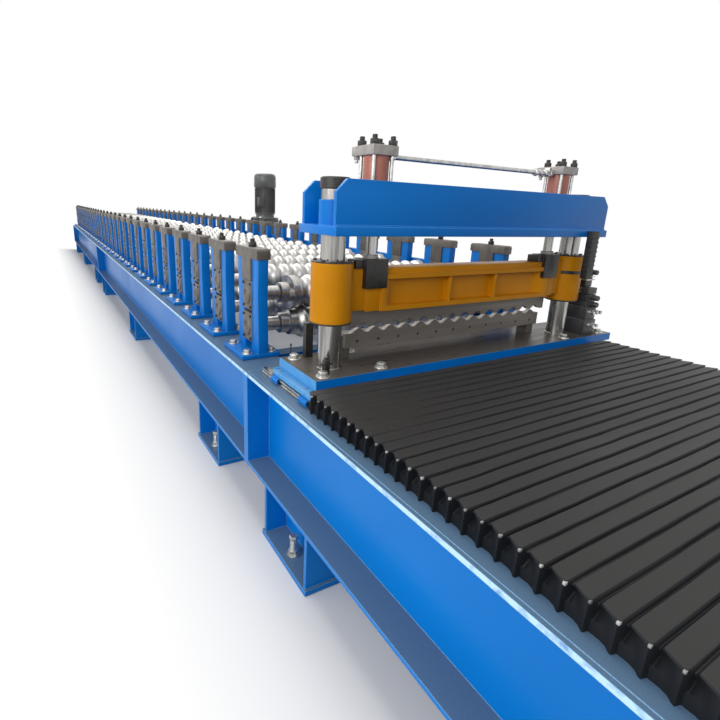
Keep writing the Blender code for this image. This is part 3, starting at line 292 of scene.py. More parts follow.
# %% [markdown]
# ## Shapes
# Most pieces of a machine are turned, cut from plate or sawn from bar. Three helpers follow those
# trades: a block with broken edges, a plate cut to an outline, and a turned bar. They all add to
# one open mesh, so a piece that is welded or bolted together from several stays one object. Turned
# bars, pipes, the bellows and the head are all lofted from rings of corners, by one helper.

# %% Build the helpers for blocks, plates and turned bars


def keep(shape, before, slot):
    """Give a material slot to the faces that came after this set of faces was noted."""
    for face in shape.faces:
        if face not in before:
            face.material_index = slot


def loft(shape, rings):
    """Faces between each ring of corners and the next one, and one over each end."""
    for lower, upper in zip(rings, rings[1:]):
        for step in range(len(lower)):
            after = (step + 1) % len(lower)
            shape.faces.new((lower[step], lower[after], upper[after], upper[step]))
    shape.faces.new(rings[0][::-1])
    shape.faces.new(rings[-1])


def add_block(shape, low, high, broken=0.0015, slot=0):
    """A block between two corners, with its edges broken by a small bevel."""
    before = set(shape.faces)
    made = bmesh.ops.create_cube(shape, size=1.0)
    for vert in made["verts"]:
        vert.co = Vector([high[i] if vert.co[i] > 0 else low[i] for i in range(3)])
    edges = list({edge for vert in made["verts"] for edge in vert.link_edges})
    bmesh.ops.bevel(shape, geom=edges, offset=broken, segments=2, profile=0.6, affect="EDGES")
    keep(shape, before, slot)


def add_plate(shape, outline, axis, start, end, broken=0.0015, slot=0):
    """A plate cut to an outline, given as pairs in the two other axes, with its edges broken."""
    order = {"x": (2, 0, 1), "y": (0, 2, 1), "z": (0, 1, 2)}[axis]

    def point(pair, along):
        """A pair in the outline's plane and a place along its axis, as a point."""
        return Vector([(*pair, along)[order[i]] for i in range(3)])

    before = set(shape.faces)
    ring = [shape.verts.new(point(pair, start)) for pair in outline]
    face = shape.faces.new(ring)
    grown = bmesh.ops.extrude_face_region(shape, geom=[face])
    moved = [item for item in grown["geom"] if isinstance(item, bmesh.types.BMVert)]
    bmesh.ops.translate(shape, verts=moved, vec=point((0, 0), end - start))
    if broken:
        edges = list({edge for vert in ring + moved for edge in vert.link_edges})
        bmesh.ops.bevel(shape, geom=edges, offset=broken, segments=2, profile=0.6, affect="EDGES")
    keep(shape, before, slot)


def add_turned(shape, profile, centre, axis="z", sides=32, slot=0):
    """A bar turned to (radius, height) pairs round an axis through centre."""
    before = set(shape.faces)
    turn = {"z": Matrix.Identity(4), "x": Matrix.Rotation(math.pi / 2, 4, "Y"),
            "y": Matrix.Rotation(-math.pi / 2, 4, "X")}[axis]
    place = Matrix.Translation(centre) @ turn
    rings = []
    for radius, height in profile:
        spots = [2 * math.pi * (step + 0.5) / sides for step in range(sides)]
        rings.append([shape.verts.new(place @ Vector((radius * math.cos(a), radius * math.sin(a), height)))
                      for a in spots])
    loft(shape, rings)
    keep(shape, before, slot)


# %% [markdown]
# Pipes and weld beads are round bars that follow a path. A ring of points is carried along it, and
# turned no more than the path itself turns, so that the bar doesn't twist.

# %% Build the helpers for pipes


def add_pipe(shape, path, radius, sides=12, slot=0):
    """A round bar along a path of points."""
    before = set(shape.faces)
    rings = []
    side = Vector((0, 0, 1))
    for index, point in enumerate(path):
        ahead = (path[min(index + 1, len(path) - 1)] - path[max(index - 1, 0)]).normalized()
        side = (side - ahead * side.dot(ahead))
        if side.length < 0.01:
            side = Vector((1, 0.3, 0)) - ahead * Vector((1, 0.3, 0)).dot(ahead)
        side.normalize()
        other = ahead.cross(side)
        rings.append([shape.verts.new(point + radius * (side * math.cos(a) + other * math.sin(a)))
                      for a in (2 * math.pi * step / sides for step in range(sides))])
    loft(shape, rings)
    keep(shape, before, slot)


def smooth_path(points, steps=8):
    """A smooth curve through the given points."""
    ends = [points[0] * 2 - points[1], *points, points[-1] * 2 - points[-2]]
    path = []
    for a, b, c, d in zip(ends, ends[1:], ends[2:], ends[3:]):
        for step in range(steps):
            t = step / steps
            path.append(0.5 * (2 * b + (c - a) * t + (2 * a - 5 * b + 4 * c - d) * t * t
                               + (3 * b - a - 3 * c + d) * t * t * t))
    path.append(points[-1])
    return path


# %% [markdown]
# A finished piece is a plain mesh at the origin that rides on one body of the model, such as the
# carriage or the head, and may stand in for some of its solids. Its faces are smooth but for edges
# sharper than an angle, as on turned and cut metal.

# %% Build the helpers that finish a piece


def as_mesh(shape, name):
    """Close an open mesh and turn all its faces outwards."""
    bmesh.ops.recalc_face_normals(shape, faces=shape.faces)
    mesh = bpy.data.meshes.new(name)
    shape.to_mesh(mesh)
    shape.free()
    return mesh


def piece(name, shape, materials, body, replaces=(), sharp=35):
    """Turn an open mesh into a finished piece that rides on a body."""
    return settle(name, as_mesh(shape, name), materials, body, replaces, sharp)


def settle(name, mesh, materials, body, replaces=(), sharp=35):
    """Set a plain mesh in the scene as a piece on a body, in place of the solids that it replaces."""
    item = bpy.data.objects.new(name, mesh)
    bpy.context.scene.collection.objects.link(item)
    for material in materials:
        mesh.materials.append(material)
    mesh.shade_smooth()
    mesh.set_sharp_from_angle(angle=math.radians(sharp))
    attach(item, body)
    if replaces:
        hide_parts(*replaces)
    print("%s: %d faces on %s" % (name, len(mesh.polygons), body))
    return item


# %% [markdown]
# ## Node trees
# Rolls, bolts and stands repeat hundreds of times. Geometry Nodes suit them: the rule is built
# once, its sizes are named inputs, and the count can change without touching the rule. The helper
# below keeps the trees short to write, runs one, and hands back a plain mesh.

# %% Build the helper for node trees
KINDS = {float: "NodeSocketFloat", int: "NodeSocketInt", Vector: "NodeSocketVector",
         bpy.types.Material: "NodeSocketMaterial", bpy.types.Object: "NodeSocketObject"}


def evaluated(item):
    """The plain mesh that an object's modifiers make."""
    bpy.context.view_layer.update()
    graph = bpy.context.evaluated_depsgraph_get()
    return bpy.data.meshes.new_from_object(item.evaluated_get(graph))


class Tree:
    """A Geometry Nodes tree with named inputs and short calls for adding and joining nodes."""

    def __init__(self, name, **inputs):
        self.group = bpy.data.node_groups.new(name, "GeometryNodeTree")
        face = self.group.interface
        face.new_socket("Geometry", in_out="INPUT", socket_type="NodeSocketGeometry")
        for label, kind in inputs.items():
            face.new_socket(label, in_out="INPUT", socket_type=KINDS[kind])
        face.new_socket("Geometry", in_out="OUTPUT", socket_type="NodeSocketGeometry")
        self.given = self.add("NodeGroupInput").outputs
        self.out = self.group.nodes.new("NodeGroupOutput")

    def add(self, kind, settings=None, **values):
        """A new node. An underscore in a socket's label stands for a space."""
        node = self.group.nodes.new(kind)
        for label, value in (settings or {}).items():
            setattr(node, label, value)
        for label, value in values.items():
            self.put(node.inputs[label.replace("_", " ")], value)
        return node

    def put(self, socket, value):
        """Join a socket to another one, or set it to a plain value."""
        if isinstance(value, bpy.types.NodeSocket):
            self.group.links.new(value, socket)
        else:
            socket.default_value = value

    def math(self, operation, first, second=0.0, third=0.0):
        """One sum on sockets or plain numbers."""
        node = self.group.nodes.new("ShaderNodeMath")
        node.operation = operation
        for socket, value in zip(node.inputs, (first, second, third)):
            self.put(socket, value)
        return node.outputs[0]

    def choose(self, test, if_false, if_true):
        """if_true where test is 1, and if_false where it is 0."""
        return self.math("ADD", self.math("MULTIPLY", test, if_true),
                         self.math("MULTIPLY", self.math("SUBTRACT", 1.0, test), if_false))

    def close(self, geometry, material):
        """End the tree: real geometry instead of instances, and a finish on it."""
        real = self.add("GeometryNodeRealizeInstances", Geometry=geometry)
        done = self.add("GeometryNodeSetMaterial", Geometry=real.outputs[0], Material=material)
        self.group.links.new(done.outputs[0], self.out.inputs[0])

    def grow(self, source=None, **values):
        """Run the tree on a mesh with these inputs, and return the plain mesh that it makes."""
        host = bpy.data.objects.new("host", source or bpy.data.meshes.new("empty"))
        bpy.context.scene.collection.objects.link(host)
        modifier = host.modifiers.new("grow", "NODES")
        modifier.node_group = self.group
        for item in self.group.interface.items_tree:
            if item.in_out == "INPUT" and item.name in values:
                modifier[item.identifier] = values[item.name]
        mesh = evaluated(host)
        host.modifiers.remove(modifier)
        bpy.data.objects.remove(host)
        return mesh


def join_meshes(meshes):
    """One mesh that holds all of these."""
    shape = bmesh.new()
    for mesh in meshes:
        shape.from_mesh(mesh)
    joined = bpy.data.meshes.new("joined")
    shape.to_mesh(joined)
    shape.free()
    return joined


# %% [markdown]
# ## Rolls
# Each shaft carries a set of chromed rings whose crests and hollows press the sheet. Seen from
# outside they read as one wavy bar. It could be turned from a long list of points, but the wave is
# a rule, so the tree sweeps a plain tube along the shaft and then scales every ring by a cosine.
# The lower roll's crests meet the upper roll's hollows. The waves are pressed from the middle
# outwards, so the first stations that the flat sheet meets have only a few.

# %% Build the tree of a wavy roll
WAVE_PITCH = 0.076
WAVE_DEPTH = 0.018
FORMED_WAVES = 14
LAST_FULL_STATION = 16
PASS_GAP = 0.006
ROLL_RADIUS = (UPPER_AXLE - LOWER_AXLE - PASS_GAP) / 2
SHAFT_RADIUS = 0.032
SPACER_RADIUS = 0.046
DRUM_HALF = FORMED_WAVES * WAVE_PITCH / 2 + 0.030
SPACER_END = DRUM_HALF + 0.045
REACH = (roll_high.x - roll_low.x) / 2

roll_tree = Tree("wavy roll", Axle=Vector, Reach=float, Rings=int, Sides=int, Formed=float, Sign=float,
                 Finish=bpy.types.Material)
start = roll_tree.add("ShaderNodeCombineXYZ", X=roll_tree.math("MULTIPLY", roll_tree.given["Reach"], -1.0))
end = roll_tree.add("ShaderNodeCombineXYZ", X=roll_tree.given["Reach"])
line = roll_tree.add("GeometryNodeCurvePrimitiveLine", Start=start.outputs[0], End=end.outputs[0])
rings = roll_tree.add("GeometryNodeResampleCurve", Curve=line.outputs[0], Count=roll_tree.given["Rings"])
circle = roll_tree.add("GeometryNodeCurvePrimitiveCircle", Resolution=roll_tree.given["Sides"], Radius=1.0)
tube = roll_tree.add("GeometryNodeCurveToMesh", Curve=rings.outputs[0], Profile_Curve=circle.outputs[0],
                     Fill_Caps=True)
spot = roll_tree.add("ShaderNodeSeparateXYZ", Vector=roll_tree.add("GeometryNodeInputPosition").outputs[0])
along = spot.outputs["X"]
away = roll_tree.math("ABSOLUTE", along)
swing = roll_tree.math("MULTIPLY", roll_tree.given["Sign"], WAVE_DEPTH / 2)
wave = roll_tree.math("COSINE", roll_tree.math("MULTIPLY", along, 2 * math.pi / WAVE_PITCH))
wave = roll_tree.choose(roll_tree.math("LESS_THAN", away, roll_tree.given["Formed"]), 1.0, wave)
drum = roll_tree.math("SUBTRACT", ROLL_RADIUS, roll_tree.math("MULTIPLY", wave, swing))
spacer = roll_tree.choose(roll_tree.math("LESS_THAN", away, SPACER_END), SHAFT_RADIUS, SPACER_RADIUS)
radius = roll_tree.choose(roll_tree.math("LESS_THAN", away, DRUM_HALF), spacer, drum)
grown = roll_tree.add("ShaderNodeCombineXYZ", X=along,
                      Y=roll_tree.math("MULTIPLY", spot.outputs["Y"], radius),
                      Z=roll_tree.math("MULTIPLY", spot.outputs["Z"], radius))
moved = roll_tree.add("ShaderNodeVectorMath", {"operation": "ADD"})
roll_tree.put(moved.inputs[0], grown.outputs[0])
roll_tree.put(moved.inputs[1], roll_tree.given["Axle"])
shaped = roll_tree.add("GeometryNodeSetPosition", Geometry=tube.outputs[0], Position=moved.outputs[0])
roll_tree.close(shaped.outputs[0], roll_tree.given["Finish"])
print("roll radius %.3f, shaft radius %.3f" % (ROLL_RADIUS, SHAFT_RADIUS))

# %% [markdown]
# The tree then runs once for every roll. The six rolls nearest to the shear turn, so each is a piece
# on its own body. The others stand still in the model and are joined, one piece for each section.

# %% Grow the rolls


def waves_at(number):
    """Pressed waves at a station: all of them near the shear, and fewer towards the entry."""
    if number <= LAST_FULL_STATION:
        return FORMED_WAVES
    return max(2, FORMED_WAVES - 2 * ((number - LAST_FULL_STATION + 1) // 2))


def roll_mesh(number, lower, reach):
    """One roll with its shaft. Those near the camera get more rings to a wave and more sides."""
    detail, sides = (12, 40) if number <= 3 else (8, 24) if number <= 9 else (6, 16)
    axle = Vector((CENTRE_X, station_y(number), LOWER_AXLE if lower else UPPER_AXLE))
    rings_here = int(2 * reach / WAVE_PITCH * detail)
    return roll_tree.grow(Axle=axle, Reach=reach, Rings=rings_here, Sides=sides, Finish=ROLL_CHROME,
                          Formed=waves_at(number) * WAVE_PITCH / 2, Sign=1.0 if lower else -1.0)


for number in range(1, TURNING + 1):
    for label in ("lower", "upper"):
        settle(f"{label}_wavy_roll_{number}", roll_mesh(number, label == "lower", REACH), [],
               f"{label}_spin_{number}", [f"{label}_roll_{number}"])
fixed = {"front": range(TURNING + 1, PER_SECTION + 1), "rear": range(PER_SECTION + 1, STATIONS + 1)}
for label, numbers in fixed.items():
    meshes = [roll_mesh(number, lower, REACH) for number in numbers for lower in (False, True)]
    hidden = [f"station_{number:02d}" for number in numbers] if label == "front" else ["main_frame_rear"]
    settle(f"wavy_rolls_{label}", join_meshes(meshes), [ROLL_CHROME], "root", hidden)

# %% [markdown]
# ## Bed
# The rear bed section is the same weldment as the front one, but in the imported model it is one
# solid with the stations on it. A copy of the front section's mesh, moved along by one section,
# gives it back on its own. The copy's loose triangles are merged first, so that it is closed.

# %% Copy the bed section for the rear
shape = bmesh.new()
shape.from_mesh(frame["nodes"]["main_frame_front"].data)
bmesh.ops.remove_doubles(shape, verts=shape.verts, dist=0.00001)
bmesh.ops.translate(shape, verts=shape.verts, vec=(0, SECTION, 0))
piece("rear_bed_section", shape, [BED_BLUE], "root", ["main_frame_rear"], sharp=20)

# %% [markdown]
# ## Roll stands
# A stand is two flame-cut columns on a foot plate, tied by a T-shaped steel cap whose stem drops
# into the slot and presses on the upper bearing block. It is modelled once at the origin, as two
# meshes for its two finishes, and a short tree sets a copy at each station. The copies share
# their shape, so the sixty stands cost little more work than one.

# %% Model one stand
FOOT_TOP = DECK + 0.0203
FOOT_HALF = 0.08
SCREW_RISE = 0.034
CAP_HEIGHT = 0.044
COLUMN_TOP = STAND_TOP - SCREW_RISE - CAP_HEIGHT
COLUMN_EDGE = 0.119
SLOT_TOP = UPPER_AXLE + 0.066
THICK = 0.046
CAP_EDGE = 0.124
BLOCK_HALF = 0.0635


def column_outline(side):
    """The outline of one column: upright outside, its slot edge flared towards the foot."""
    pairs = [(COLUMN_EDGE, FOOT_TOP), (COLUMN_EDGE, FOOT_TOP + 0.05), (0.113, UPPER_AXLE + 0.01),
             (COLUMN_EDGE, COLUMN_TOP - 0.06), (COLUMN_EDGE, COLUMN_TOP), (0.052, COLUMN_TOP), (0.052, SLOT_TOP),
             (0.047, UPPER_AXLE + 0.06), (0.0525, UPPER_AXLE - 0.02), (0.040, FOOT_TOP + 0.1), (0.040, FOOT_TOP)]
    return [(side * along, height) for along, height in pairs]


def stand_body():
    """The painted part of a stand: the foot plate and its two columns."""
    shape = bmesh.new()
    add_block(shape, (-0.096, -COLUMN_EDGE, DECK + 0.0014), (FOOT_HALF, COLUMN_EDGE, FOOT_TOP), 0.003)
    for side in (-1, 1):
        add_plate(shape, column_outline(side), "x", -THICK / 2, THICK / 2, 0.0025)
    return shape


def stand_steel():
    """The bare part of a stand: the cap with its stem, and two bearing blocks with their covers."""
    shape = bmesh.new()
    top = COLUMN_TOP + 0.0442
    outline = [(-CAP_EDGE, COLUMN_TOP), (-0.05, COLUMN_TOP), (-0.05, SLOT_TOP), (0.05, SLOT_TOP),
               (0.05, COLUMN_TOP), (CAP_EDGE, COLUMN_TOP), (CAP_EDGE, top - 0.008), (0.116, top), (-0.116, top),
               (-CAP_EDGE, top - 0.008)]
    add_plate(shape, outline, "x", -0.031, 0.031, 0.0015)
    for axle in (LOWER_AXLE, UPPER_AXLE):
        add_block(shape, (-0.027, -0.0495, axle - BLOCK_HALF), (0.027, 0.0495, axle + BLOCK_HALF), 0.003)
        rim = [(0.040, 0.026), (0.040, 0.031), (0.037, 0.0335), (0.024, 0.0335), (0.022, 0.029), (0.001, 0.029)]
        add_turned(shape, [(r, -h) for r, h in rim], Vector((0, 0, axle)), "x", 24)
    return shape


def loose(shape, name):
    """Turn an open mesh into an object that a tree copies and that is removed later."""
    item = bpy.data.objects.new(name, as_mesh(shape, name))
    bpy.context.scene.collection.objects.link(item)
    return item


# %% [markdown]
# The tree lays a line of points along the bed and puts a copy of the stand on each, turned to face
# outwards. It knows nothing of the stand's shape, so any part can be repeated with it.

# %% Build the tree that repeats a stand
stand_tree = Tree("stands along the bed", Stand=bpy.types.Object, Count=int, Pitch=float, First=Vector,
                  Turn=Vector, Finish=bpy.types.Material)
step = stand_tree.add("ShaderNodeCombineXYZ", Y=stand_tree.given["Pitch"])
spots = stand_tree.add("GeometryNodeMeshLine", Count=stand_tree.given["Count"], Offset=step.outputs[0],
                       Start_Location=stand_tree.given["First"])
source = stand_tree.add("GeometryNodeObjectInfo", Object=stand_tree.given["Stand"])
copies = stand_tree.add("GeometryNodeInstanceOnPoints", Points=spots.outputs[0],
                        Instance=source.outputs["Geometry"], Rotation=stand_tree.given["Turn"])
stand_tree.close(copies.outputs[0], stand_tree.given["Finish"])


def stand_row(part, material, numbers, x, turn):
    """One part of the stand at each of these stations, on one side of the bed."""
    first = Vector((x, station_y(numbers[0]), 0.0))
    return stand_tree.grow(Stand=part, Count=len(numbers), Pitch=PITCH, First=first, Turn=turn, Finish=material)


# %% [markdown]
# The far stands are the near ones turned by half a turn, as the bearing covers face outwards on
# both sides. Front and rear section are kept as separate pieces, because they are bolted together
# and could be taken apart there.

# %% Set the stands along the bed
parts = {"columns": (loose(stand_body(), "stand_columns"), BLUE, "blue_paint"),
         "caps_and_blocks": (loose(stand_steel(), "stand_steel"), CAST_STEEL, "ground_steel")}
rows = {"front": list(range(1, PER_SECTION + 1)), "rear": list(range(PER_SECTION + 1, STATIONS + 1))}
NEAR_X = near_low.x + FOOT_HALF
FAR_X = 2 * CENTRE_X - NEAR_X
for label, numbers in rows.items():
    replaced = ["main_frame_rear"]
    if label == "front":
        replaced = [f"{side}_stand_{n}" for side in ("near", "far") for n in range(1, TURNING + 1)]
    for kind, (part, material, slot) in parts.items():
        meshes = [stand_row(part, material, numbers, NEAR_X, Vector((0, 0, 0))),
                  stand_row(part, material, numbers, FAR_X, Vector((0, 0, math.pi)))]
        settle(f"stand_{kind}_{label}", join_meshes(meshes), [material], "root", replaced)
for part, _, _ in parts.values():
    bpy.data.objects.remove(part)

# %% [markdown]
# ## Fasteners
# Bolts are bought by the box, so they are all the same few shapes. One hexagon head with its washer,
# one socket screw and one nut on a threaded end are modelled at the origin. A tree then sets a copy
# on every vertex of a small point mesh, turned to face the right way. The places come from the same
# sizes as the plates that they hold, so each bolt lands where a spanner could reach it.

# %% Model the fasteners


def hexagon(radius):
    """The six corners of a nut or a bolt head."""
    return [(radius * math.cos(a), radius * math.sin(a)) for a in (math.pi * (i + 0.5) / 3 for i in range(6))]


def hex_bolt():
    """A hexagon head on its washer."""
    shape = bmesh.new()
    add_turned(shape, [(0.021, 0.0), (0.021, 0.0022), (0.0205, 0.003)], Vector(), "z", 20)
    add_plate(shape, hexagon(0.0145), "z", 0.003, 0.0150, 0.0012)
    add_turned(shape, [(0.011, 0.0149), (0.0105, 0.0158)], Vector(), "z", 18)
    return loose(shape, "hex_bolt")


def socket_screw():
    """A round head with a sunk socket."""
    shape = bmesh.new()
    rim = [(0.008, 0.0), (0.008, 0.0072), (0.0074, 0.008), (0.0042, 0.008), (0.0040, 0.0045), (0.0005, 0.0042)]
    add_turned(shape, rim, Vector(), "z", 16)
    return loose(shape, "socket_screw")


def nut_on_stud():
    """A nut with the threaded end of its rod above it."""
    shape = bmesh.new()
    add_plate(shape, hexagon(0.0155), "z", 0.0, 0.017, 0.0015)
    threads = [(0.0082 if step % 2 else 0.0093, 0.017 + 0.0013 * step) for step in range(10)]
    add_turned(shape, [*threads, (0.0075, 0.0298)], Vector(), "z", 14)
    return loose(shape, "nut_on_stud")


bolt_tree = Tree("bolts on points", Bolt=bpy.types.Object, Turn=Vector, Scale=float, Finish=bpy.types.Material)
source = bolt_tree.add("GeometryNodeObjectInfo", Object=bolt_tree.given["Bolt"])
spots = bolt_tree.add("GeometryNodeMeshToPoints", Mesh=bolt_tree.given["Geometry"])
copies = bolt_tree.add("GeometryNodeInstanceOnPoints", Points=spots.outputs[0], Instance=source.outputs["Geometry"],
                       Rotation=bolt_tree.given["Turn"], Scale=bolt_tree.given["Scale"])
bolt_tree.close(copies.outputs[0], bolt_tree.given["Finish"])

FACING = {"up": (0, 0, 0), "left": (0, -math.pi / 2, 0), "right": (0, math.pi / 2, 0),
          "exit": (math.pi / 2, 0, 0), "entry": (-math.pi / 2, 0, 0)}
HEX = hex_bolt()
SOCKET = socket_screw()
STUD = nut_on_stud()


def bolts(bolt, points, facing, scale, material):
    """Copies of one fastener on a list of points."""
    spots = bpy.data.meshes.new("spots")
    spots.from_pydata(points, [], [])
    return bolt_tree.grow(spots, Bolt=bolt, Turn=Vector(FACING[facing]), Scale=scale, Finish=material)


def fasten(name, bolt, points, scale, material, body="root", replaces=(), facing="up"):
    """Copies of one fastener as a piece of their own."""
    settle(name, bolts(bolt, points, facing, scale, material), [material], body, replaces)


# %% [markdown]
# Four bolts hold each foot plate, one screw with a nut presses on the upper bearing block from the
# cap, and four small screws hold each bearing cover. Their places come from the stand's own sizes.

# %% Bolt down the stands
sides = ((NEAR_X, -1, "left"), (FAR_X, 1, "right"))
for label, numbers in rows.items():
    replaced = ["main_frame_rear"] if label == "rear" else ["near_stand_1"]
    places = [station_y(number) for number in numbers]
    feet = [(x + side * across, y + along, FOOT_TOP) for x, side, _ in sides for y in places
            for across in (0.062, -0.047) for along in (-0.088, 0.088)]
    fasten(f"stand_foot_bolts_{label}", HEX, feet, 1.12, ZINC, "root", replaced)
    screws = [(x, y, COLUMN_TOP + CAP_HEIGHT) for x, _, _ in sides for y in places]
    fasten(f"adjusting_screws_{label}", STUD, screws, 1.15, BLACK_OXIDE, "root", replaced)
    covers = []
    for x, side, facing in sides:
        points = [(x + side * 0.026, y + along, axle + up) for y in places for axle in (LOWER_AXLE, UPPER_AXLE)
                  for along, up in ((-0.039, 0.05), (0.039, 0.05), (-0.039, -0.05), (0.039, -0.05))]
        covers.append(bolts(SOCKET, points, facing, 0.8, BLACK_OXIDE))
    settle(f"bearing_screws_{label}", join_meshes(covers), [BLACK_OXIDE], "root", replaced)

# %% [markdown]
# The bed's legs stand on base plates, and each is levelled with one big bolt and its lock nut. The
# sections are joined through their end plates, with the bolts on the inner side of each beam. None of
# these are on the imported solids, so they are set here from the bed's own sizes.

# %% Set the levelling bolts and the joint bolts
EXIT_LENGTH = 2.19
LEG_INSET = 0.58
LEGS = [0.56, 1.83]
for start in (EXIT_LENGTH, EXIT_LENGTH + SECTION):
    LEGS += [start + LEG_INSET, start + SECTION / 2, start + SECTION - LEG_INSET]
BEAM_X = 0.761
LEVELLING_NUT = 0.021
END_PLATE = 0.0203
shape = bmesh.new()
for side in (-1, 1):
    for place in LEGS:
        centre = at(side * (BEAM_X + 0.0517), place, 0.0)
        add_turned(shape, [(0.026, 0.0201), (0.026, 0.024)], centre, "z", 20)
        outline = [(centre.x + a, centre.y + b) for a, b in hexagon(LEVELLING_NUT)]
        add_plate(shape, outline, "z", 0.024, 0.042, 0.0018)
        head = [(centre.x + a * 0.85, centre.y + b * 0.85) for a, b in hexagon(LEVELLING_NUT)]
        add_plate(shape, head, "z", 0.084, 0.1, 0.0018)
        threads = [(0.0135 if step % 2 else 0.0148, 0.042 + 0.003 * step) for step in range(15)]
        add_turned(shape, threads, centre, "z", 16)
piece("levelling_bolts", shape, [ZINC], "root")
joints = [start + side * END_PLATE for start in (EXIT_LENGTH, EXIT_LENGTH + SECTION) for side in (1, -1)]
meshes = []
for index, place in enumerate(joints):
    points = [at(side * (BEAM_X - 0.055), place, height) for side in (-1, 1) for height in (0.29, 0.37, 0.49, 0.57)]
    meshes.append(bolts(HEX, points, "entry" if index % 2 == 0 else "exit", 1.0, BLUE))
settle("joint_bolts", join_meshes(meshes), [BLUE], "root")

# %% [markdown]
# ## Bellows
# The cover is coated fabric, folded round a row of stiff frames. Seen close it is not a row of
# equal roofs: each fold is a broad, nearly flat strip with a lip towards the exit and a thin deep
# crease before it, and its ends turn down over the beam as a zigzag wall, with the tip of each frame
# showing at the corner. It is lofted ring by ring, which gives each ring its own drop and inset, and
# a little noise keeps it from looking new. The creases fade where the cover is pulled flat.

# %% Work out the rings of the bellows
from mathutils import noise

fold_low, fold_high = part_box("bellows")
USUAL_PITCH = 0.0433
FOLD_COUNT = round((fold_high.y - fold_low.y) / USUAL_PITCH)
FOLD_PITCH = (fold_high.y - fold_low.y) / FOLD_COUNT
ACROSS = 46


def crease_depth(x, fold):
    """How open a crease is here. Near the shear the cover is pulled almost flat on its near side."""
    pulled = min(max((fold - FOLD_COUNT + 13) / 7, 0.0), 1.0) * min(max(1.25 - (x - fold_low.x) / 0.5, 0.0), 1.0)
    wander = 0.5 + 0.5 * noise.noise(Vector((x * 2.3, fold * 0.83, 3.3)))
    return max(0.10, (0.45 + 0.75 * wander) * (1.0 - 0.9 * pulled))


def bellows_ring(y, drop, inset, fold):
    """One ring round the cover: up the near wall, over the top and down the far wall."""
    low, high = fold_low.x, fold_high.x
    near_top, far_top = fold_high.z - drop * crease_depth(low, fold), fold_high.z - drop * crease_depth(high, fold)
    foot = min(inset, 0.011)
    corner = ((foot, None), (foot, DECK + 0.026), (inset * 0.9, 0.022), (inset * 0.8, 0.010),
              (inset * 0.5 + 0.001, 0.004), (inset * 0.45 + 0.004, 0.0013), (inset * 0.4 + 0.018, 0.0004))

    def side(top):
        """Points up one wall: absolute up to the beam's height, and below the top from there."""
        return [(x, fold_low.z if z is None else z if z > 0.5 else top - z) for x, z in corner]

    points = [(low + x, z) for x, z in side(near_top)]
    for step in range(1, ACROSS):
        x = low + 0.034 + (high - low - 0.068) * step / ACROSS
        crinkle = 0.0016 * noise.noise(Vector((x * 9.0, fold * 0.37, 0.5))) + 0.0009 * noise.noise(
            Vector((x * 31.0, fold * 1.9, 2.5)))
        points.append((x, fold_high.z - drop * crease_depth(x, fold) - abs(crinkle) * 1.2))
    points += [(high - x, z) for x, z in reversed(side(far_top))]
    ring = []
    for x, z in points:
        sway = 0.0030 * noise.noise(Vector((x * 4.0, fold * 0.61, 7.1)))
        ring.append(Vector((x, min(max(y + sway, fold_low.y), fold_high.y), z)))
    return ring


# %% [markdown]
# One fold is ten rings, each with its share of the pitch, its drop below the top and its inset from
# the wall. The shares crowd at the crease, where the cover bends most. The tips of the frames are
# small blocks of metal, one at each end of a fold, some bright and some dull; the bright ones partly
# stand in for painted glints.

# %% Fold the bellows
FOLD_SHAPE = ((0.0, 0.0092, 0.031), (0.03, 0.0088, 0.029), (0.085, 0.0016, 0.013), (0.12, 0.0002, 0.005),
              (0.16, 0.0, 0.0), (0.24, 0.0007, 0.001), (0.45, 0.0014, 0.008), (0.70, 0.0020, 0.018),
              (0.90, 0.0026, 0.026), (0.965, 0.0080, 0.030))
shape = bmesh.new()
rings = []
for fold in range(FOLD_COUNT):
    start = fold_low.y + fold * FOLD_PITCH
    rings += [bellows_ring(start + share * FOLD_PITCH, drop, inset, fold + share * 0.3)
              for share, drop, inset in FOLD_SHAPE]
rings.append(bellows_ring(fold_high.y, 0.0092, 0.031, FOLD_COUNT))
loft(shape, [[shape.verts.new(point) for point in ring] for ring in rings])
for fold in range(FOLD_COUNT):
    y = fold_low.y + (fold + 0.16) * FOLD_PITCH
    for x in (fold_low.x + 0.0035, fold_high.x - 0.0035):
        size = 0.0030 + 0.0014 * noise.noise(Vector((x, fold * 1.7, 4.2)))
        add_block(shape, (x - 0.0038, y - size, fold_high.z - 0.0045 - size),
                  (x + size, y + size * 0.7, fold_high.z - 0.0022), 0.0009, 1)
bellows = piece("folded_bellows", shape, [FABRIC, FRAME_TIP_AND_GLINT], "root", ["bellows"], sharp=30)
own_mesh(bellows)

# %% [markdown]
# ## Rails and carriage
# The carriage runs on two profiled rails with a screw every 60 mm. They are hardened and ground,
# so they stay the brightest straight lines on the deck. Their section is cut as an outline along Y.

# %% Lay the rails
SCREW_PITCH = 0.06
meshes = []
for label in ("near", "far"):
    low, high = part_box(f"linear_rail_{label}")
    middle = (low.x + high.x) / 2
    right = [(0.015, 0.0), (0.015, 0.007), (0.011, 0.0105), (0.011, 0.0135), (0.015, 0.017), (0.015, 0.0205),
             (0.0135, 0.022)]
    outline = [(middle + x, low.z + z) for x, z in right] + [(middle - x, low.z + z) for x, z in reversed(right)]
    shape = bmesh.new()
    add_plate(shape, outline, "y", low.y, high.y, 0.0)
    piece(f"profiled_rail_{label}", shape, [COLUMN_CHROME], "root", [f"linear_rail_{label}"], 20)
    count = int((high.y - low.y) / SCREW_PITCH)
    points = [(middle, low.y + SCREW_PITCH / 2 + SCREW_PITCH * index, high.z - 0.0072) for index in range(count)]
    meshes.append(bolts(SOCKET, points, "up", 0.92, BLACK_OXIDE))
settle("rail_screws", join_meshes(meshes), [BLACK_OXIDE], "root")

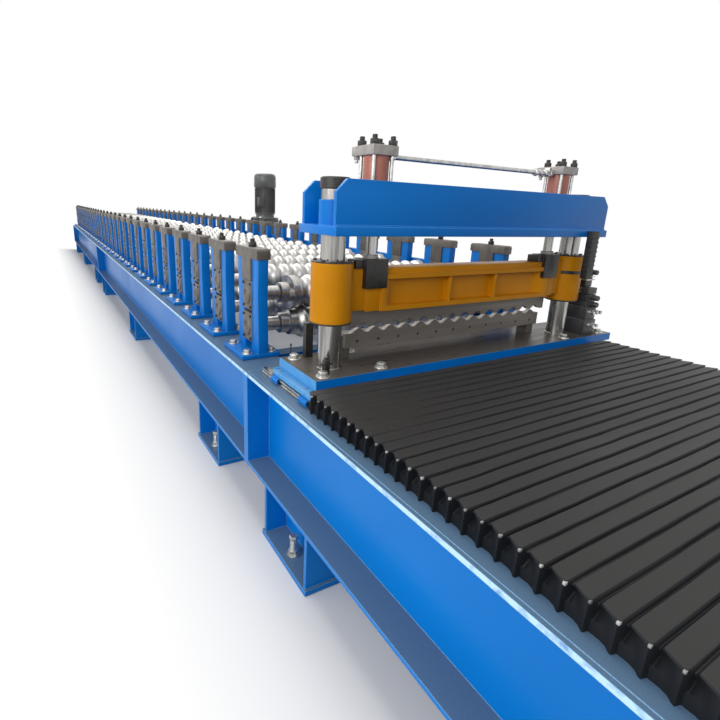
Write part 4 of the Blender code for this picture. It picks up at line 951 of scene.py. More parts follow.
# %% [markdown]
# The rails sit on a strip that was planed along the top flange, which leaves a thin step beside the
# flange's edge. It is a millimetre high, but it draws a second line along the whole bed.

# %% Plane the seats of the rails
shape = bmesh.new()
deck_low, deck_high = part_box("exit_frame")
for low, high in ((deck_low.x + 0.011, deck_low.x + 0.190), (deck_high.x - 0.190, deck_high.x - 0.011)):
    add_plate(shape, [(low, deck_low.y + 0.004), (high, deck_low.y + 0.004), (high, deck_high.y - 0.004),
                      (low, deck_high.y - 0.004)], "z", DECK + 0.0001, DECK + 0.0012, 0.0)
piece("rail_seating_strips", shape, [BED_BLUE], "root", sharp=20)

# %% [markdown]
# The carriage plate slides on four runner blocks. Its side wings are a thin plate with rounded
# corners, so the bright rail shows past them and between the blocks. The outline is cut along Z, and
# the blocks take the rail's own section as their groove.

# %% Build the carriage plate
plate_low, plate_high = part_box("carriage_plate")
WING = plate_high.z - 0.020
CORNER_RADIUS = 0.018
rail_low, rail_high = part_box("linear_rail_near")
RAIL_X = CENTRE_X - (rail_low.x + rail_high.x) / 2
wing_x = plate_high.x - CENTRE_X - 0.023
outline = []
corners = ((wing_x, plate_high.y, 0), (-wing_x, plate_high.y, 1), (-wing_x, plate_low.y, 2), (wing_x, plate_low.y, 3))
for x, y, start in corners:
    inner = Vector((x - math.copysign(CORNER_RADIUS, x), y - (CORNER_RADIUS if start < 2 else -CORNER_RADIUS)))
    for turn in range(5):
        angle = math.pi / 2 * (start + turn / 4)
        outline.append((CENTRE_X + inner.x + CORNER_RADIUS * math.cos(angle),
                        inner.y + CORNER_RADIUS * math.sin(angle)))
shape = bmesh.new()
add_plate(shape, outline, "z", WING, plate_high.z, 0.002)
for side in (-1, 1):
    middle = CENTRE_X + side * RAIL_X
    low, gap = DECK + 0.006, rail_high.z + 0.002
    section = [(-0.024, low), (-0.0175, low), (-0.0175, gap), (0.0175, gap), (0.0175, low), (0.024, low),
               (0.024, WING - 0.006), (0.018, WING + 0.0005), (-0.018, WING + 0.0005), (-0.024, WING - 0.006)]
    blocks = ((plate_low.y + 0.008, plate_low.y + 0.066), (plate_high.y - 0.086, plate_high.y - 0.030))
    for start, end in blocks:
        add_plate(shape, [(middle + x, z) for x, z in section], "y", start, end, 0.0, 1)
# The plate's finish has its top and sideways faces painted lighter, as a sheen.
piece("winged_carriage_plate", shape, [SHEEN_BLUE, BLUE], "carriage", ["carriage_plate"])

# %% [markdown]
# ## Shear frame
# Two chromed columns stand on the bed plate and carry the top beam. The beam is a trough: a thick
# floor plate with a lip and two upright plates with cut corners. The columns pass through blue
# sleeves on its floor and are drawn down by round nuts. All of it is plate and bar work.

# %% Turn the columns
bed_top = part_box("bed_plate")[1].z
beam_low, beam_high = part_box("top_beam")
FLOOR_TOP = beam_low.z + 0.030
SLEEVE_TOP = FLOOR_TOP + 0.080
COLUMN_X = 0.648
COLUMN_RADIUS = 0.0425
for side, label in ((-1, "near"), (1, "far")):
    centre = Vector((CENTRE_X + side * COLUMN_X, SHEAR_Y, 0))
    shape = bmesh.new()
    add_turned(shape, [(0.0465, bed_top + 0.0003), (0.0465, bed_top + 0.004), (0.0445, bed_top + 0.005),
                       (COLUMN_RADIUS, bed_top + 0.0052), (COLUMN_RADIUS, beam_low.z - 0.0003)], centre, "z", 64, 0)
    add_turned(shape, [(0.046, SLEEVE_TOP), (0.046, FLOOR_TOP + 0.113)], centre, "z", 48, 0)
    nut = FLOOR_TOP + 0.1133
    add_turned(shape, [(0.047, nut), (0.050, nut + 0.003), (0.050, nut + 0.034), (0.0465, nut + 0.038),
                       (0.024, nut + 0.038), (0.021, nut + 0.030), (0.001, nut + 0.030)], centre, "z", 48, 1)
    piece(f"chromed_column_{label}", shape, [COLUMN_CHROME, BLACK_OXIDE], "carriage",
          [f"guide_column_{label}"])

# %% [markdown]
# The trough is welded from plate. Its two walls stand back from the edge of the floor plate by a
# lip, where a bead of weld runs along, and their upper corners are cut off.

# %% Weld the top beam
WALL = 0.015
CUT_CORNER = 0.04
shape = bmesh.new()
add_block(shape, (beam_low.x + 0.007, beam_low.y, beam_low.z), (beam_high.x - 0.007, beam_high.y, FLOOR_TOP), 0.003)
lip = 0.012
wall_low, wall_high = beam_low.x + lip, beam_high.x - lip
outline = [(wall_low, FLOOR_TOP - 0.002), (wall_high, FLOOR_TOP - 0.002), (wall_high, beam_high.z - CUT_CORNER),
           (wall_high - CUT_CORNER, beam_high.z), (wall_low + CUT_CORNER, beam_high.z),
           (wall_low, beam_high.z - CUT_CORNER)]
for front in (beam_low.y + lip, beam_high.y - lip - WALL):
    add_plate(shape, outline, "y", front, front + WALL, 0.002)
for front, direction in ((beam_low.y + lip, -1), (beam_high.y - lip, 1)):
    weld = [Vector((wall_low + 0.003, front + direction * 0.001, FLOOR_TOP + 0.001)),
            Vector((wall_high - 0.003, front + direction * 0.001, FLOOR_TOP + 0.001))]
    add_pipe(shape, weld, 0.0045, 8)
for side in (-1, 1):
    centre = Vector((CENTRE_X + side * COLUMN_X, SHEAR_Y, 0))
    add_turned(shape, [(0.0525, FLOOR_TOP - 0.001), (0.0525, FLOOR_TOP + 0.0785), (0.051, SLEEVE_TOP)],
               centre, "z", 48)
piece("top_beam_trough", shape, [BLUE], "carriage", ["top_beam"])

# %% [markdown]
# ## Cylinders
# Each cylinder is of the tie-rod kind: a painted barrel is clamped between two square caps by four
# bright rods, whose nuts stand on the upper cap. A steel pipe joins the two, so that they push with
# the same pressure. The barrel, the caps and the rods are separate finishes of one piece.

# %% Build the cylinders
CYLINDER_X = CENTRE_X - (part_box("cylinder_near")[0].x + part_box("cylinder_near")[1].x) / 2
cap_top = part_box("cylinder_near")[1].z - 0.035
CAP, CAP_THICK, ROD_PLACE = 0.052, 0.032, 0.037
nuts = []
for side, label in ((-1, "near"), (1, "far")):
    x = CENTRE_X + side * CYLINDER_X
    shape = bmesh.new()
    for low, high in ((FLOOR_TOP + 0.0003, FLOOR_TOP + CAP_THICK), (cap_top - CAP_THICK, cap_top)):
        add_block(shape, (x - CAP, SHEAR_Y - CAP, low), (x + CAP, SHEAR_Y + CAP, high), 0.0025, 0)
    centre = Vector((x, SHEAR_Y, 0))
    add_turned(shape, [(0.0435, FLOOR_TOP + 0.031), (0.0435, cap_top - 0.031)], centre, "z", 48, 1)
    for dx in (-ROD_PLACE, ROD_PLACE):
        for dy in (-ROD_PLACE, ROD_PLACE):
            corner = centre + Vector((dx, dy, 0))
            add_turned(shape, [(0.0065, FLOOR_TOP + 0.031), (0.0065, cap_top - 0.031)], corner, "z", 16, 2)
            nuts.append(corner + Vector((0, 0, cap_top)))
    add_block(shape, (x - CAP + 0.001, SHEAR_Y + CAP - 0.002, cap_top - CAP_THICK + 0.001),
              (x - CAP + 0.040, SHEAR_Y + CAP + 0.026, cap_top - 0.001), 0.002, 0)
    port = Vector((x - CAP + 0.014, SHEAR_Y + CAP + 0.012, cap_top - CAP_THICK + 0.001))
    add_turned(shape, [(0.001, -0.004), (0.0045, -0.004), (0.0055, -0.011), (0.0095, -0.011), (0.0105, -0.008),
                       (0.0105, 0.001)], port, "z", 6, 0)
    add_turned(shape, [(0.001, -0.022), (0.006, -0.022), (0.0065, -0.020), (0.0065, -0.010)], port, "z", 18, 2)
    piece(f"tie_rod_cylinder_{label}", shape, [CAP_STEEL, BARREL_RED, ZINC, BLACK_OXIDE], "carriage",
          [f"cylinder_{label}"])
fasten("cylinder_nuts", STUD, nuts, 1.0, BLACK_OXIDE, "carriage")

# %% [markdown]
# The crossover pipe is straight, with a row of hexagon fittings at its far end. The thin return pipe
# bends down beside the far cylinder. Both are swept along their centre line.

# %% Bend the pipes
pipe_low, pipe_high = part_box("crossover_pipe")
pipe_z = (pipe_low.z + pipe_high.z) / 2
shape = bmesh.new()
add_pipe(shape, [Vector((pipe_low.x, SHEAR_Y, pipe_z)), Vector((pipe_high.x, SHEAR_Y, pipe_z))], 0.0085, 16)
for place, radius, length in ((pipe_low.x + 0.002, 0.014, 0.018), (pipe_high.x - 0.02, 0.015, 0.018),
                              (pipe_high.x - 0.052, 0.0145, 0.02), (pipe_high.x - 0.085, 0.013, 0.016),
                              (pipe_high.x - 0.115, 0.0155, 0.014)):
    add_plate(shape, [(SHEAR_Y + a, pipe_z + b) for a, b in hexagon(radius)], "x", place, place + length, 0.001)
add_block(shape, (pipe_high.x - 0.036, SHEAR_Y - 0.012, pipe_z - 0.012),
          (pipe_high.x - 0.02, SHEAR_Y + 0.012, pipe_z + 0.022))
piece("crossover_pipe_with_fittings", shape, [ZINC], "carriage", ["crossover_pipe"])

far_x = CENTRE_X + CYLINDER_X
return_pipe = smooth_path([Vector((far_x + 0.055, SHEAR_Y + 0.02, cap_top - 0.02)),
                           Vector((far_x + 0.085, SHEAR_Y + 0.02, cap_top - 0.035)),
                           Vector((far_x + 0.100, SHEAR_Y + 0.02, cap_top - 0.085)),
                           Vector((far_x + 0.085, SHEAR_Y + 0.02, cap_top - 0.16)),
                           Vector((far_x + 0.062, SHEAR_Y + 0.02, FLOOR_TOP + 0.02)),
                           Vector((far_x + 0.048, SHEAR_Y + 0.02, FLOOR_TOP + 0.018))], 8)
shape = bmesh.new()
add_pipe(shape, return_pipe, 0.0045, 12)
piece("cylinder_return_pipe", shape, [ZINC], "carriage")

# %% [markdown]
# ## Cutting head
# The head is one yellow casting: two bushings on the columns, a solid cheek beside each, and a
# ribbed beam between, with a bar along its back that stands higher than the front lip. The hollows
# run out into the cheeks on a slant. A loft along X follows that well: the section keeps its count
# of points while the web swells into the cheek. Black seals close the bushings, and the rods end in
# black blocks.

# %% Loft the ribbed beam of the head
bush_low, bush_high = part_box("head_casting")[0].z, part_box("head_casting")[1].z
HEAD_LOW, HEAD_HIGH = bush_low + 0.0335, bush_high - 0.027
PANEL_END, CHEEK_START, HALF_DEPTH = 0.392, 0.452, 0.046
LIP = HEAD_HIGH - 0.0235
RIB_PLACE = 0.128


def head_section(x, web):
    """Twelve corners of the head's section, as an I with a web of this half thickness."""
    low, high = HEAD_LOW + 0.016, LIP - 0.016
    right = [(HALF_DEPTH, HEAD_LOW), (HALF_DEPTH, low), (web, low + 0.004), (web, high - 0.004), (HALF_DEPTH, high),
             (HALF_DEPTH, LIP)]
    pairs = right + [(-y, z) for y, z in reversed(right)]
    return [Vector((CENTRE_X + x, SHEAR_Y + y, z)) for y, z in pairs]


shape = bmesh.new()
reach = CHEEK_START + 0.01
slant = [(reach, 0.0458), (CHEEK_START, 0.0457), (CHEEK_START - 0.010, 0.0435), (CHEEK_START - 0.028, 0.034),
         (PANEL_END + 0.012, 0.017), (PANEL_END + 0.004, 0.0135), (PANEL_END - 0.012, 0.012)]
stations = [(-x, web) for x, web in slant] + slant[::-1]
loft(shape, [[shape.verts.new(point) for point in head_section(x, web)] for x, web in stations])
edges = [edge for edge in shape.edges
         if edge.calc_length() > 0.05 and edge.is_manifold and edge.calc_face_angle() > 0.5]
bmesh.ops.bevel(shape, geom=edges, offset=0.003, segments=2, profile=0.6, affect="EDGES")
for x in (-RIB_PLACE, RIB_PLACE):
    for side in (-1, 1):
        low, high = sorted((SHEAR_Y + side * 0.008, SHEAR_Y + side * (HALF_DEPTH - 0.005)))
        add_block(shape, (CENTRE_X + x - 0.006, low, HEAD_LOW + 0.010), (CENTRE_X + x + 0.006, high, LIP - 0.010),
                  0.002)
add_block(shape, (CENTRE_X - CHEEK_START - 0.004, SHEAR_Y - 0.033, LIP - 0.008),
          (CENTRE_X + CHEEK_START + 0.004, SHEAR_Y + HALF_DEPTH, HEAD_HIGH), 0.003)

# %% [markdown]
# Each cheek is a thin web with a thicker start, and runs into its bushing. The bushings are turned
# on the columns' own axes, with a black seal at each end and six small screws on the top. The band
# round the far one marks where its two halves meet.

# %% Add the cheeks and the bushings
for side in (-1, 1):
    low, high = sorted((side * CHEEK_START, side * (COLUMN_X - 0.045)))
    add_block(shape, (CENTRE_X + low, SHEAR_Y - 0.026, HEAD_LOW + 0.004),
              (CENTRE_X + high, SHEAR_Y + 0.026, HEAD_HIGH), 0.003)
    low, high = sorted((side * CHEEK_START, side * (CHEEK_START + 0.070)))
    add_block(shape, (CENTRE_X + low, SHEAR_Y - 0.034, HEAD_LOW),
              (CENTRE_X + high, SHEAR_Y + HALF_DEPTH, HEAD_HIGH), 0.003)
seals = bmesh.new()
screws = []
for side in (-1, 1):
    centre = Vector((CENTRE_X + side * COLUMN_X, SHEAR_Y, 0))
    add_turned(shape, [(0.0715, bush_low + 0.005), (0.0738, bush_low + 0.0075), (0.0738, bush_high - 0.007),
                       (0.072, bush_high - 0.005)], centre, "z", 72)
    for low in (bush_low, bush_high - 0.0055):
        add_turned(seals, [(0.0715, low), (0.0735, low + 0.001), (0.0735, low + 0.0045), (0.0715, low + 0.0055)],
                   centre, "z", 64)
    for step in range(6):
        angle = math.pi * (step + 0.5) / 3
        screws.append(centre + Vector((0.060 * math.cos(angle), 0.060 * math.sin(angle), bush_high - 0.002)))
piece("head_body", shape, [YELLOW], "head", ["head_casting"])
centre = Vector((CENTRE_X + COLUMN_X, SHEAR_Y, 0))
split = (bush_low + bush_high) / 2 + 0.030
add_turned(seals, [(0.0735, split - 0.008), (0.0748, split - 0.007), (0.0748, split + 0.007), (0.0735, split + 0.008)],
           centre, "z", 64)
piece("bushing_seals", seals, [BLACK_OXIDE], "head")
fasten("bushing_screws", SOCKET, screws, 0.9, BLACK_OXIDE, "head")

# %% [markdown]
# A black block grips the end of each piston rod and hangs over the front of the head, so the push
# goes into the casting's thickest part. Block, rod and collar are one piece, as they move as one.

# %% Build the rods and their blocks
for side, label in ((-1, "near"), (1, "far")):
    x = CENTRE_X + side * CYLINDER_X
    centre = Vector((x, SHEAR_Y, 0))
    shape = bmesh.new()
    shift = -0.002 if side < 0 else -0.022
    add_block(shape, (x - 0.046 + shift, SHEAR_Y - 0.050, HEAD_HIGH - 0.070),
              (x + 0.046 + shift, SHEAR_Y + 0.026, HEAD_HIGH + 0.032), 0.0015, 0)
    add_block(shape, (x - 0.082 + shift, SHEAR_Y - 0.036, HEAD_HIGH + 0.0005),
              (x - 0.044 + shift, SHEAR_Y + 0.020, HEAD_HIGH + 0.030), 0.001, 0)
    add_turned(shape, [(0.027, HEAD_HIGH + 0.0315), (0.027, HEAD_HIGH + 0.043), (0.0255, HEAD_HIGH + 0.0445)],
               centre, "z", 32, 2)
    add_turned(shape, [(0.019, HEAD_HIGH + 0.032), (0.019, FLOOR_TOP + 0.079)], centre, "z", 40, 1)
    piece(f"rod_and_block_{label}", shape, [BLACK_OXIDE, COLUMN_CHROME, CAP_STEEL], "head", [f"piston_rod_{label}"])

# %% [markdown]
# ## Blades
# The two blades carry the sheet's own wave, so that they shear it without flattening it. They are
# ground from one bar. The outline is the cosine itself, at twelve steps to a wave, which looks
# smooth from a metre away. The lower blade is held by a row of sunk screws.

# %% Cut the blades
PASS = (LOWER_AXLE + UPPER_AXLE) / 2
BLADE_HALF = FORMED_WAVES * WAVE_PITCH / 2 + 0.021
SCREW_LINE = PASS - 0.043
SCREW_COUNT = 11
EDGE_STEPS = 12


def carve(shape, cutters):
    """Cut a closed mesh with another one, exactly."""
    items = [loose(shape, "stock"), loose(cutters, "cutter")]
    change = items[0].modifiers.new("cut", "BOOLEAN")
    change.operation = "DIFFERENCE"
    change.solver = "EXACT"
    change.object = items[1]
    mesh = evaluated(items[0])
    items[0].modifiers.remove(change)
    for item in items:
        bpy.data.objects.remove(item)
    return mesh


def wavy_edge(middle):
    """The cutting edge from end to end, as a cosine about this height."""
    steps = FORMED_WAVES * EDGE_STEPS
    start = -FORMED_WAVES * WAVE_PITCH / 2
    return [(CENTRE_X + start + step * WAVE_PITCH / EDGE_STEPS,
             middle - math.cos(math.pi * step / (EDGE_STEPS // 2)) * WAVE_DEPTH / 2) for step in range(steps + 1)]


blades = (("lower", "carriage", PASS, PASS - 0.066), ("upper", "head", PASS + 0.026, HEAD_LOW))
for label, body, middle, flat in blades:
    low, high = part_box(f"{label}_blade")
    end = middle - WAVE_DEPTH / 2
    outline = [(CENTRE_X - BLADE_HALF, flat), (CENTRE_X - BLADE_HALF, end), *wavy_edge(middle),
               (CENTRE_X + BLADE_HALF, end), (CENTRE_X + BLADE_HALF, flat)]
    shape = bmesh.new()
    add_plate(shape, outline, "y", low.y, high.y, 0.0)
    if label == "lower":
        reach = BLADE_HALF - 0.0545
        places = [CENTRE_X - reach + 2 * reach * index / (SCREW_COUNT - 1) for index in range(SCREW_COUNT)]
        cutters = bmesh.new()
        for x in places:
            add_turned(cutters, [(0.0062, -0.001), (0.0062, 0.009)], Vector((x, low.y, SCREW_LINE)), "y", 20)
        mesh = carve(shape, cutters)
        fasten("blade_screws", SOCKET, [(x, low.y + 0.0088, SCREW_LINE) for x in places], 0.68, BLACK_OXIDE,
               "carriage", facing="exit")
        settle("wavy_lower_blade", mesh, [BLADE], body, ["lower_blade"], 30)
    else:
        piece("wavy_upper_blade", shape, [BLADE], body, ["upper_blade"], 30)

# %% [markdown]
# ## Valve unit
# The valves that switch the cylinders sit on the far end of the bed plate: a manifold block, two
# stacked valve bodies with their round solenoids, and steel fittings for the oil. A flat black
# duct hangs from the beam above them. They are small blocks and turned parts on one body.

# %% Build the valve unit
low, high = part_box("valve_unit")
mid_y = (low.y + high.y) / 2
shape = bmesh.new()
add_block(shape, (low.x, low.y, low.z), (high.x, high.y, low.z + 0.075), 0.003, 0)
add_block(shape, (low.x + 0.008, low.y + 0.006, low.z + 0.0745),
          (high.x - 0.004, high.y - 0.008, low.z + 0.135), 0.003, 0)
for index in range(3):
    base = low.z + 0.135 + index * 0.032
    add_block(shape, (low.x + 0.012, low.y + 0.016, base - 0.0005),
              (high.x - 0.008, high.y - 0.018, base + 0.029), 0.002, 0)
add_block(shape, (low.x + 0.016, mid_y - 0.03, low.z + 0.23), (high.x - 0.02, mid_y + 0.03, high.z), 0.004, 0)
for base in (low.z + 0.150, low.z + 0.182):
    centre = Vector(((low.x + high.x) / 2, low.y + 0.016, base))
    add_turned(shape, [(0.013, 0.001), (0.013, -0.034), (0.011, -0.037)], centre, "y", 24, 0)
for dx, height in ((0.016, 0.115), (0.042, 0.115), (0.070, 0.115), (0.03, 0.05), (0.06, 0.05)):
    spot = Vector((low.x + dx, low.y, low.z + height))
    add_turned(shape, [(0.0095, 0.004), (0.0095, -0.008), (0.007, -0.009), (0.007, -0.022), (0.0085, -0.023),
                       (0.0085, -0.030)], spot, "y", 16, 1)
for height in (0.205, 0.222):
    add_turned(shape, [(0.006, 0.0), (0.006, -0.045), (0.0085, -0.046), (0.0085, -0.056)],
               Vector((low.x + 0.014, mid_y - 0.01, low.z + height)), "x", 16, 1)
for height in (0.262, 0.276):
    add_block(shape, (low.x + 0.010, mid_y - 0.036, low.z + height),
              (high.x - 0.012, mid_y + 0.036, low.z + height + 0.006), 0.0015, 1)
add_turned(shape, [(0.012, 0.0), (0.012, -0.030), (0.010, -0.033)],
           Vector((high.x - 0.040, mid_y - 0.028, high.z + 0.012)), "y", 20, 0)
add_block(shape, (low.x + 0.020, mid_y - 0.026, high.z - 0.002),
          (high.x - 0.024, mid_y + 0.026, high.z + 0.030), 0.003, 0)
piece("valve_stack", shape, [VALVE_GREY, ZINC], "carriage", ["valve_unit"])

# %% [markdown]
# The duct that hangs from the beam is a flexible channel of black plastic, with a raised band round
# it every 20 mm. A block with thin bands on it reads as that.

# %% Hang the duct
BANDS = 9
low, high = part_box("cable_duct")
shape = bmesh.new()
add_block(shape, low, high, 0.003)
for index in range(BANDS):
    z = low.z + 0.015 + index * 0.02
    add_block(shape, (low.x - 0.0012, low.y - 0.0012, z), (high.x + 0.0012, high.y - 0.002, z + 0.006), 0.0006)
piece("ribbed_cable_duct", shape, [RUBBER], "carriage", ["cable_duct"])

# %% [markdown]
# The bed plate is held by eight big bolts, and the carriage's wings by sunk screws into the runner
# blocks. Two posts and a thin stud near the left edge are stops and guides of the shear.

# %% Bolt down the bed plate
bed_low, bed_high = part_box("bed_plate")
bed_points = [(x, y, bed_top) for x in (bed_low.x + 0.045, bed_low.x + 0.29, bed_high.x - 0.33, bed_high.x - 0.06)
              for y in (bed_low.y + 0.035, bed_high.y - 0.035)]
fasten("bed_plate_bolts", HEX, bed_points, 1.22, ZINC, "carriage")
holes = [(CENTRE_X + side * 0.779, y, plate_high.z - 0.0065) for side in (-1, 1)
         for y in (plate_low.y + 0.034, plate_low.y + 0.070, plate_high.y - 0.056, plate_high.y - 0.022)]
fasten("carriage_screws", SOCKET, holes, 0.85, BLACK_OXIDE, "carriage")
shape = bmesh.new()
post = Vector((bed_low.x + 0.068, bed_low.y + 0.055, bed_top))
add_block(shape, (post.x - 0.010, post.y - 0.010, post.z), (post.x + 0.010, post.y + 0.010, post.z + 0.052), 0.0015)
add_block(shape, (post.x - 0.020, post.y - 0.008, post.z + 0.034),
          (post.x + 0.022, post.y + 0.008, post.z + 0.040), 0.001)
add_turned(shape, [(0.008, post.z + 0.0515), (0.008, post.z + 0.060), (0.0065, post.z + 0.0615)],
           Vector((post.x, post.y, 0)), "z", 18)
add_turned(shape, [(0.0028, bed_top - 0.001), (0.0028, bed_top + 0.046), (0.0042, bed_top + 0.047),
                   (0.0042, bed_top + 0.051)],
           Vector((bed_low.x + 0.043, bed_high.y - 0.008, 0)), "z", 12)
back = Vector((bed_low.x + 0.105, bed_high.y - 0.03, bed_top))
add_block(shape, (back.x - 0.016, back.y - 0.012, back.z), (back.x + 0.016, back.y + 0.012, back.z + 0.135), 0.002)
piece("stop_posts", shape, [BLACK_OXIDE], "carriage")

# %% [markdown]
# ## Drive
# A finned motor stands on the gearbox, with its fan under a rounded hood. The fins are the repeated
# part, so a tree sets one thin blade round the body and turns each to face outwards. The terminal
# box sits on the side towards the line.

# %% Build the motor's body
motor_low, motor_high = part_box("drive_motor")
drive = Vector(((motor_low.x + motor_high.x) / 2, (motor_low.y + motor_high.y) / 2, 0))
shape = bmesh.new()
base = motor_low.z
add_turned(shape, [(0.170, base), (0.172, base + 0.002), (0.172, base + 0.014), (0.169, base + 0.018),
                   (0.118, base + 0.019), (0.113, base + 0.058)], drive, "z", 64, 1)
add_turned(shape, [(0.128, base + 0.0575), (0.128, base + 0.072), (0.119, base + 0.074), (0.119, motor_high.z - 0.012),
                   (0.126, motor_high.z - 0.010), (0.126, motor_high.z)], drive, "z", 64, 0)
toward = Vector((-0.72, -0.69, 0)).normalized()
spot = drive + toward * 0.128
add_block(shape, (spot.x - 0.035, spot.y - 0.035, base + 0.150),
          (spot.x + 0.035, spot.y + 0.035, base + 0.262), 0.006, 0)
add_block(shape, (spot.x - 0.040, spot.y - 0.040, base + 0.175),
          (spot.x + 0.040, spot.y + 0.040, base + 0.19), 0.003, 0)
for angle in range(0, 360, 90):
    a = math.radians(angle + 45)
    around = drive + Vector((0.152 * math.cos(a), 0.152 * math.sin(a), 0))
    add_turned(shape, [(0.013, base + 0.018), (0.013, base + 0.028), (0.0115, base + 0.030)], around, "z", 6, 2)
motor_body = shape

# %% [markdown]
# The fin is modelled once, beside the axis and facing along +X. The tree puts all its copies on the
# axis itself and only turns them, by an equal share of a full turn for each.

# %% Grow the fins round the motor
FINS = 40
fin = bmesh.new()
add_block(fin, (0.116, -0.0018, base + 0.078), (0.1295, 0.0018, motor_high.z - 0.014), 0.0007)
fin_source = loose(fin, "fin")
fin_tree = Tree("fins round the motor", Fin=bpy.types.Object, Count=int, Centre=Vector, Finish=bpy.types.Material)
source = fin_tree.add("GeometryNodeObjectInfo", Object=fin_tree.given["Fin"])
spots = fin_tree.add("GeometryNodePoints", Count=fin_tree.given["Count"], Position=fin_tree.given["Centre"])
number = fin_tree.add("GeometryNodeInputIndex").outputs[0]
angle = fin_tree.math("DIVIDE", fin_tree.math("MULTIPLY", number, 2 * math.pi), fin_tree.given["Count"])
turn = fin_tree.add("ShaderNodeCombineXYZ", Z=angle)
copies = fin_tree.add("GeometryNodeInstanceOnPoints", Points=spots.outputs[0], Instance=source.outputs["Geometry"],
                      Rotation=turn.outputs[0])
fin_tree.close(copies.outputs[0], fin_tree.given["Finish"])
fins = fin_tree.grow(Fin=fin_source, Count=FINS, Centre=drive, Finish=MOTOR_GREY)
bpy.data.objects.remove(fin_source)
settle("motor_fins", fins, [MOTOR_GREY], "root", ["drive_motor"])
piece("motor_body", motor_body, [MOTOR_GREY, HOOD_GREY, ZINC], "root", ["drive_motor"])

# %% [markdown]
# The fan's hood is one pressed sheet, turned here from its rounded outline. Wire rings and spokes
# close its opening. The gearbox under the motor is a ribbed casting with a flange above and below.

# %% Build the hood and the gearbox
hood_low, hood_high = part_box("fan_hood")
shape = bmesh.new()
top = hood_high.z
add_turned(shape, [(0.135, hood_low.z), (0.137, hood_low.z + 0.003), (0.136, top - 0.045), (0.131, top - 0.025),
                   (0.120, top - 0.010), (0.104, top - 0.002), (0.085, top - 0.0015), (0.082, top - 0.006),
                   (0.001, top - 0.006)], drive, "z", 64, 0)
for ring in range(1, 5):
    radius = ring * 0.019
    loop = [drive + Vector((radius * math.cos(a), radius * math.sin(a), top - 0.004))
            for a in (2 * math.pi * step / 32 for step in range(33))]
    add_pipe(shape, loop[:-1], 0.0016, 6, 1)
for angle in range(0, 180, 30):
    a = math.radians(angle)
    across = Vector((0.083 * math.cos(a), 0.083 * math.sin(a), top - 0.003))
    flat = Vector((-across.x, -across.y, across.z))
    add_pipe(shape, [drive + across, drive + flat], 0.0018, 6, 1)
piece("rounded_fan_hood", shape, [HOOD_GREY, BLACK_OXIDE], "root", ["fan_hood"])

low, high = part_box("gearbox")
shape = bmesh.new()
add_block(shape, (low.x + 0.004, low.y + 0.004, low.z), (high.x - 0.004, high.y - 0.004, high.z - 0.02), 0.012, 0)
add_block(shape, (low.x, low.y, high.z - 0.03), (high.x, high.y, high.z), 0.004, 0)
add_block(shape, (low.x, low.y, low.z), (high.x, high.y, low.z + 0.025), 0.004, 0)
for index in range(5):
    x = low.x + 0.045 + index * 0.04
    add_block(shape, (x - 0.004, low.y - 0.0005, low.z + 0.03), (x + 0.004, high.y + 0.0005, high.z - 0.035), 0.001, 0)
piece("gearbox_casting", shape, [HOOD_GREY], "root", ["gearbox"])

for item in (HEX, SOCKET, STUD):
    bpy.data.objects.remove(item)

# %% [markdown]
# ## Pieces kept as they are
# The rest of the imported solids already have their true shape, so they only need a finish. The
# Bevel node in the paint rounds their edges in the shading, which is enough for flame-cut plate.

# %% Finish the kept solids
kept = {"exit_frame": BED_BLUE, "main_frame_front": BED_BLUE, "chain_guard_front": BLUE, "chain_guard_rear": BLUE,
        "gearbox_bracket": BLUE, "bed_plate": GROUND_PLATE, "blade_holder": CAST_STEEL,
        "bellows_end_bracket": BLUE}
for name, material in kept.items():
    mesh = frame["nodes"][name].data
    mesh.materials.clear()
    mesh.materials.append(material)
left_over = [name for name, item in frame["nodes"].items() if not item.hide_render and name not in kept]
print("CAD nodes still shown without a finish:", left_over)

# %% [markdown]
# ## Stage, light and camera
# The photo is a cut-out on white, lit by big soft windows on the left and a pale hall above. The
# floor is white, and so is the world where it is seen directly or in metal. Round the machine's own
# footprint the floor keeps its real shadow, which fades out a step away from it. The camera stands
# where the photo was taken, close to the exit end, a little below eye height and with a wide lens.

# %% Build the helpers for the floor


def seen_directly(nodes, join):
    """1 for a ray from the camera, or one that metal or glass sends on, and 0 for the rest."""
    path = nodes.new("ShaderNodeLightPath")
    total = path.outputs["Is Camera Ray"]
    for label in ("Is Glossy Ray", "Is Transmission Ray"):
        total = compute(nodes, join, "MAXIMUM", total, path.outputs[label])
    return total


def distance_past(nodes, join, value, edge):
    """How far a coordinate lies past the edge of the machine's own footprint."""
    return compute(nodes, join, "SUBTRACT", compute(nodes, join, "ABSOLUTE", value), edge)


# %% [markdown]
# The floor has two faces. Light that bounces off it sees a matt grey one. The camera, and metal that
# mirrors it, see a pale one that is shadowed near the machine and white farther out.

# %% Lay the floor
FOOTPRINT_X, FOOTPRINT_Y = 0.95, 7.25
SHADOW_START, SHADOW_END = 0.02, 0.5
scene = bpy.context.scene
bpy.ops.mesh.primitive_plane_add(size=90.0, location=(0, 0, -0.002))
floor = bpy.context.active_object
floor.name = "pale_floor"
pale = bpy.data.materials.new("pale_floor")
pale.use_nodes = True
nodes, join = pale.node_tree.nodes, pale.node_tree.links.new
matt = nodes["Principled BSDF"]
matt.inputs["Base Color"].default_value = (0.42, 0.42, 0.42, 1)
matt.inputs["Roughness"].default_value = 0.8
matt.inputs["Specular IOR Level"].default_value = 0.2
shadowed = nodes.new("ShaderNodeBsdfDiffuse")
shadowed.inputs["Color"].default_value = (0.74, 0.74, 0.74, 1)
white = nodes.new("ShaderNodeEmission")
white.inputs["Color"].default_value = (1, 1, 1, 1)
place = split_up(nodes, join, nodes.new("ShaderNodeTexCoord").outputs["Object"])
